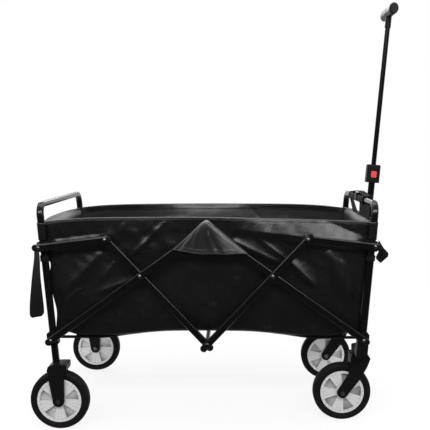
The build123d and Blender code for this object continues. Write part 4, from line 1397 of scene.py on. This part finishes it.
@dataclass
class EndFrames(CadGroup):
    """The two end frames: painted tubes, moulded brackets, forks and plated pins."""

    painted: Names = ("rear_loop", "front_loop", "rear_cross_tube", "front_cross_tube")
    moulded: Names = (
        "rear_brackets", "front_brackets", "rear_forks", "caster_mounts", "caster_fork_right", "caster_fork_left",
        "handle_bracket", "handle_clip", "strap_buckle",
    )
    plated: Names = (
        "rear_frame_pins", "front_frame_pins", "rear_axle_bolts", "caster_bolt_right", "caster_bolt_left",
    )


@dataclass
class SideLinkage(CadGroup):
    """The folding bars of both sides with their caps, rivets and bottom rod."""

    painted: Names = (
        "rear_long_bars", "rear_short_bars", "front_short_bars", "front_long_bars", "rear_links", "front_links",
        "bottom_rod",
    )
    moulded: Names = (
        "rear_long_bar_caps", "rear_short_bar_caps", "front_short_bar_caps", "front_long_bar_caps",
        "rear_link_caps", "front_link_caps",
    )
    plated: Names = ("rear_cross_rivets", "front_cross_rivets", "front_link_rivets", "rear_link_rivets")


@dataclass
class PullHandle(CadGroup):
    """The telescopic pull handle."""

    painted: Names = ("handle_outer_tube", "handle_inner_tube")
    moulded: Names = ("handle_foot", "lock_block", "inner_tube_bush")

    def dress(self, frame: Frame, paint: Material, plastic: Material, steel: Material) -> None:
        """Put paint, plastic, grip and button finishes on their nodes."""
        super().dress(frame, paint, plastic, steel)
        dress_nodes(frame, GripFoam("grip_foam_black").make(), "handle_grip")
        dress_nodes(frame, RedButton("lock_button_red").make(), "lock_button")


@dataclass
class Wheels:
    """Four wheels, each with its own tyre and rim finish centred on its hub."""

    # painted light: the left rims get paler silver and paler pocket shade than the right ones
    left_silver: float = 0.74
    left_shade: float = 0.4

    def dress(self, frame: Frame) -> None:
        """Centre a tyre finish and a rim finish on each hub; the left rims are painted paler as painted light, as
        in the photograph.
        """
        for end in End:
            for side in Side:
                tyre, rim = f"{end.tag}_tyre_{side.tag}", f"{end.tag}_rim_{side.tag}"
                low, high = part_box(tyre)
                hub = tuple((low + high) / 2)
                # painted light: paler tones for the left rims
                tone = (self.left_silver, self.left_shade) if side is Side.LEFT else ()
                dress_nodes(frame, TyreRubber(f"{tyre}_rubber", hub, (high.z - low.z) / 2).make(), tyre)
                dress_nodes(frame, RimPlastic(f"{rim}_silver", hub, *tone).make(), rim)


# Studio


def set_up(name: str, data: Any, axes: Sequence[Array], at: Point) -> Piece:
    """Add a light or a camera.

    Args:
        name: the object's name.
        data: the light or camera data.
        axes: its x, y and z axes; it looks along minus z.
        at: its place.

    Returns:
        The object.
    """
    made = bpy.data.objects.new(name, data)
    bpy.context.scene.collection.objects.link(made)
    made.matrix_world = Matrix(np.column_stack([*axes, at]).tolist() + [[0.0, 0.0, 0.0, 1.0]])
    return made


@dataclass
class Softbox:
    """An area light."""

    name: str
    at: Point
    aim: Point
    size: Pair
    power: float

    def hang(self) -> None:
        """Hang the light at its place, facing its aim."""
        data = bpy.data.lights.new(self.name, "AREA")
        data.shape = "RECTANGLE"
        data.size, data.size_y = self.size
        data.energy = self.power
        back = np.array(self.at) - np.array(self.aim)
        back = back / np.linalg.norm(back)
        side = np.cross([0.0, 0.0, 1.0], back)
        side = side / np.linalg.norm(side)
        set_up(self.name, data, (side, np.cross(back, side), back), self.at)
        log.info("light %s", self.name)


@dataclass
class Studio:
    """Pale floor, white surround, soft light and the camera."""

    floor_half: float = 30.0
    floor_white: float = 0.8
    fill: float = 0.6
    behind: float = 0.06
    lights: tuple[Softbox, ...] = (
        Softbox("key_box", (0.1, -2.55, 2.05), (0.0, 0.0, 0.4), (4.5, 0.5), 118.0),
        Softbox("top_box", (-0.1, 0.2, 3.0), (0.0, 0.0, 0.3), (3.0, 1.8), 55.0),
        Softbox("back_box", (-0.6, 2.6, 1.9), (0.0, 0.0, 0.5), (2.6, 1.0), 30.0),
    )
    eye: Point = (0.0472, -2.0123, 0.7587)
    right: Point = (0.99958, 0.02856, -0.00532)
    up: Point = (0.00246, 0.09926, 0.99506)
    forward: Point = (-0.02894, 0.99465, -0.09914)
    lens: float = 56.488
    sensor: float = 36.0
    far_clip: float = 200.0

    def rays(self, sheet: NodeSheet) -> tuple[Value, Value]:
        """1 for rays from the camera, and 1 for rays off gloss or through glass."""
        path = sheet.node("ShaderNodeLightPath")
        camera, gloss, through = (
            Value(sheet, path.outputs[n]) for n in ("Is Camera Ray", "Is Glossy Ray", "Is Transmission Ray")
        )
        return camera, gloss.most(through)

    def floor(self) -> None:
        """A wide level sheet: pale paint under the shadow, mostly lit white, shaded towards the camera."""
        edge = np.linspace(-self.floor_half, self.floor_half, 3)
        x, y = np.meshgrid(edge, edge, indexing="ij")
        piece = cloth_grid("studio_floor", np.stack([x, y, 0 * x], -1), flip=True)
        material = bpy.data.materials.new("studio_floor_white")
        material.use_nodes = True
        sheet = NodeSheet(material.node_tree)
        paint = sheet.node("ShaderNodeBsdfDiffuse", None, {"Color": (self.floor_white,) * 3})
        camera, mirror = self.rays(sheet)
        x_off, y_off, _ = sheet.split(sheet.place(Coords.OBJECT))
        lit = camera + (1.0 - camera) * y_off.ease(-0.6, 0.3, self.behind, 1.0)
        glow = sheet.node("ShaderNodeEmission", None, {"Color": lit, "Strength": 1.0})
        share = camera * ((x_off * x_off + y_off * y_off) ** 0.5).ease(0.7, 2.4, 0.85, 1.0) + mirror
        parts = {0: share.least(1.0), 1: paint.outputs[0], 2: glow.outputs[0]}
        mix = sheet.node("ShaderNodeMixShader", None, parts)
        sheet.node("ShaderNodeOutputMaterial", None, {"Surface": mix.outputs[0]})
        dress(piece, material)

    def surround(self) -> None:
        """White for the camera and reflections, shaded behind the camera, and dimmer as a light."""
        world = bpy.data.worlds.new("studio_surround")
        bpy.context.scene.world = world
        world.use_nodes = True
        sheet = NodeSheet(world.node_tree)
        camera, mirror = self.rays(sheet)
        facing = sheet.split(sheet.node("ShaderNodeTexCoord").outputs["Generated"])[1]
        shaded = facing.ease(-0.75, 0.1, self.behind, 1.0)
        strength = camera + (1.0 - camera) * (mirror * shaded + (1.0 - mirror) * self.fill)
        glow = sheet.node("ShaderNodeBackground", None, {"Color": (1.0, 1.0, 1.0), "Strength": strength})
        sheet.node("ShaderNodeOutputWorld", None, {"Surface": glow.outputs[0]})

    def camera(self) -> None:
        """The camera at the photograph's place."""
        data = bpy.data.cameras.new("photo_camera")
        data.sensor_fit = "HORIZONTAL"
        data.sensor_width = self.sensor
        data.lens = self.lens
        data.clip_end = self.far_clip
        axes = (np.array(self.right), np.array(self.up), -np.array(self.forward))
        bpy.context.scene.camera = set_up("photo_camera", data, axes, self.eye)

    def build(self) -> None:
        """Set the room up."""
        bpy.context.scene.view_settings.view_transform = "Standard"
        self.floor()
        self.surround()
        for light in self.lights:
            light.hang()
        self.camera()


def main() -> None:
    """Load the frame, dress its nodes, build the soft pieces and set up the studio."""
    logging.basicConfig(level=logging.INFO, format="%(name)s: %(message)s")
    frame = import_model()
    rear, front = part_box("rear_cross_tube"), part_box("front_cross_tube")
    shape = BagShape(middle=(rear[0].x + rear[1].x + front[0].x + front[1].x) / 4)
    paint = PowderCoat("frame_powder_coat").make()
    plastic = MouldedPlastic("black_moulding").make()
    steel = ZincSteel("plated_steel").make()
    EndFrames().dress(frame, paint, plastic, steel)
    SideLinkage().dress(frame, paint, plastic, steel)
    Wheels().dress(frame)
    coat = PowderCoat("handle_powder_coat", scuffed=(0.003, 0.003, 0.0031), gloss=0.3, shine=0.1)
    PullHandle().dress(frame, coat.make(), plastic, steel)
    Bag(
        shape,
        cloth=CoatedCloth("bag_outer_cloth").make(),
        lining=CoatedCloth(
            "bag_coated_lining", thread=(0.012, 0.012, 0.0125), faded=(0.024, 0.024, 0.025), gloss=0.33, shine=0.5
        ).make(),
        # end lining: lighter than the bag lining as painted light, with a pale painted highlight along its upper
        # strip
        end_lining=CoatedCloth(
            "end_coated_lining", thread=(0.02, 0.02, 0.0205), faded=(0.035, 0.035, 0.036), gloss=0.36, shine=0.5,
            pale=(0.17, 0.17, 0.172),
        ).make(),
        tape=CoatedCloth(
            "rim_tape_cloth", faded=(0.012, 0.012, 0.0125), gloss=0.3, sewn=(0.0045, 0.014), hem="edge"
        ).make(),
        hood_cloth=CoatedCloth(
            "hood_cloth", thread=(0.003, 0.003, 0.0032), faded=(0.018, 0.018, 0.0185), gloss=0.26, shine=0.48,
            sewn=(0.002, 0.0105), hem="edge",
        ).make(),
        mat_cloth=MatCloth("mat_cover_cloth").make(),
    ).build()
    Webbing(shape, WebbingCloth("black_webbing").make()).build()
    Studio().build()


if __name__ == "__main__":
    main()
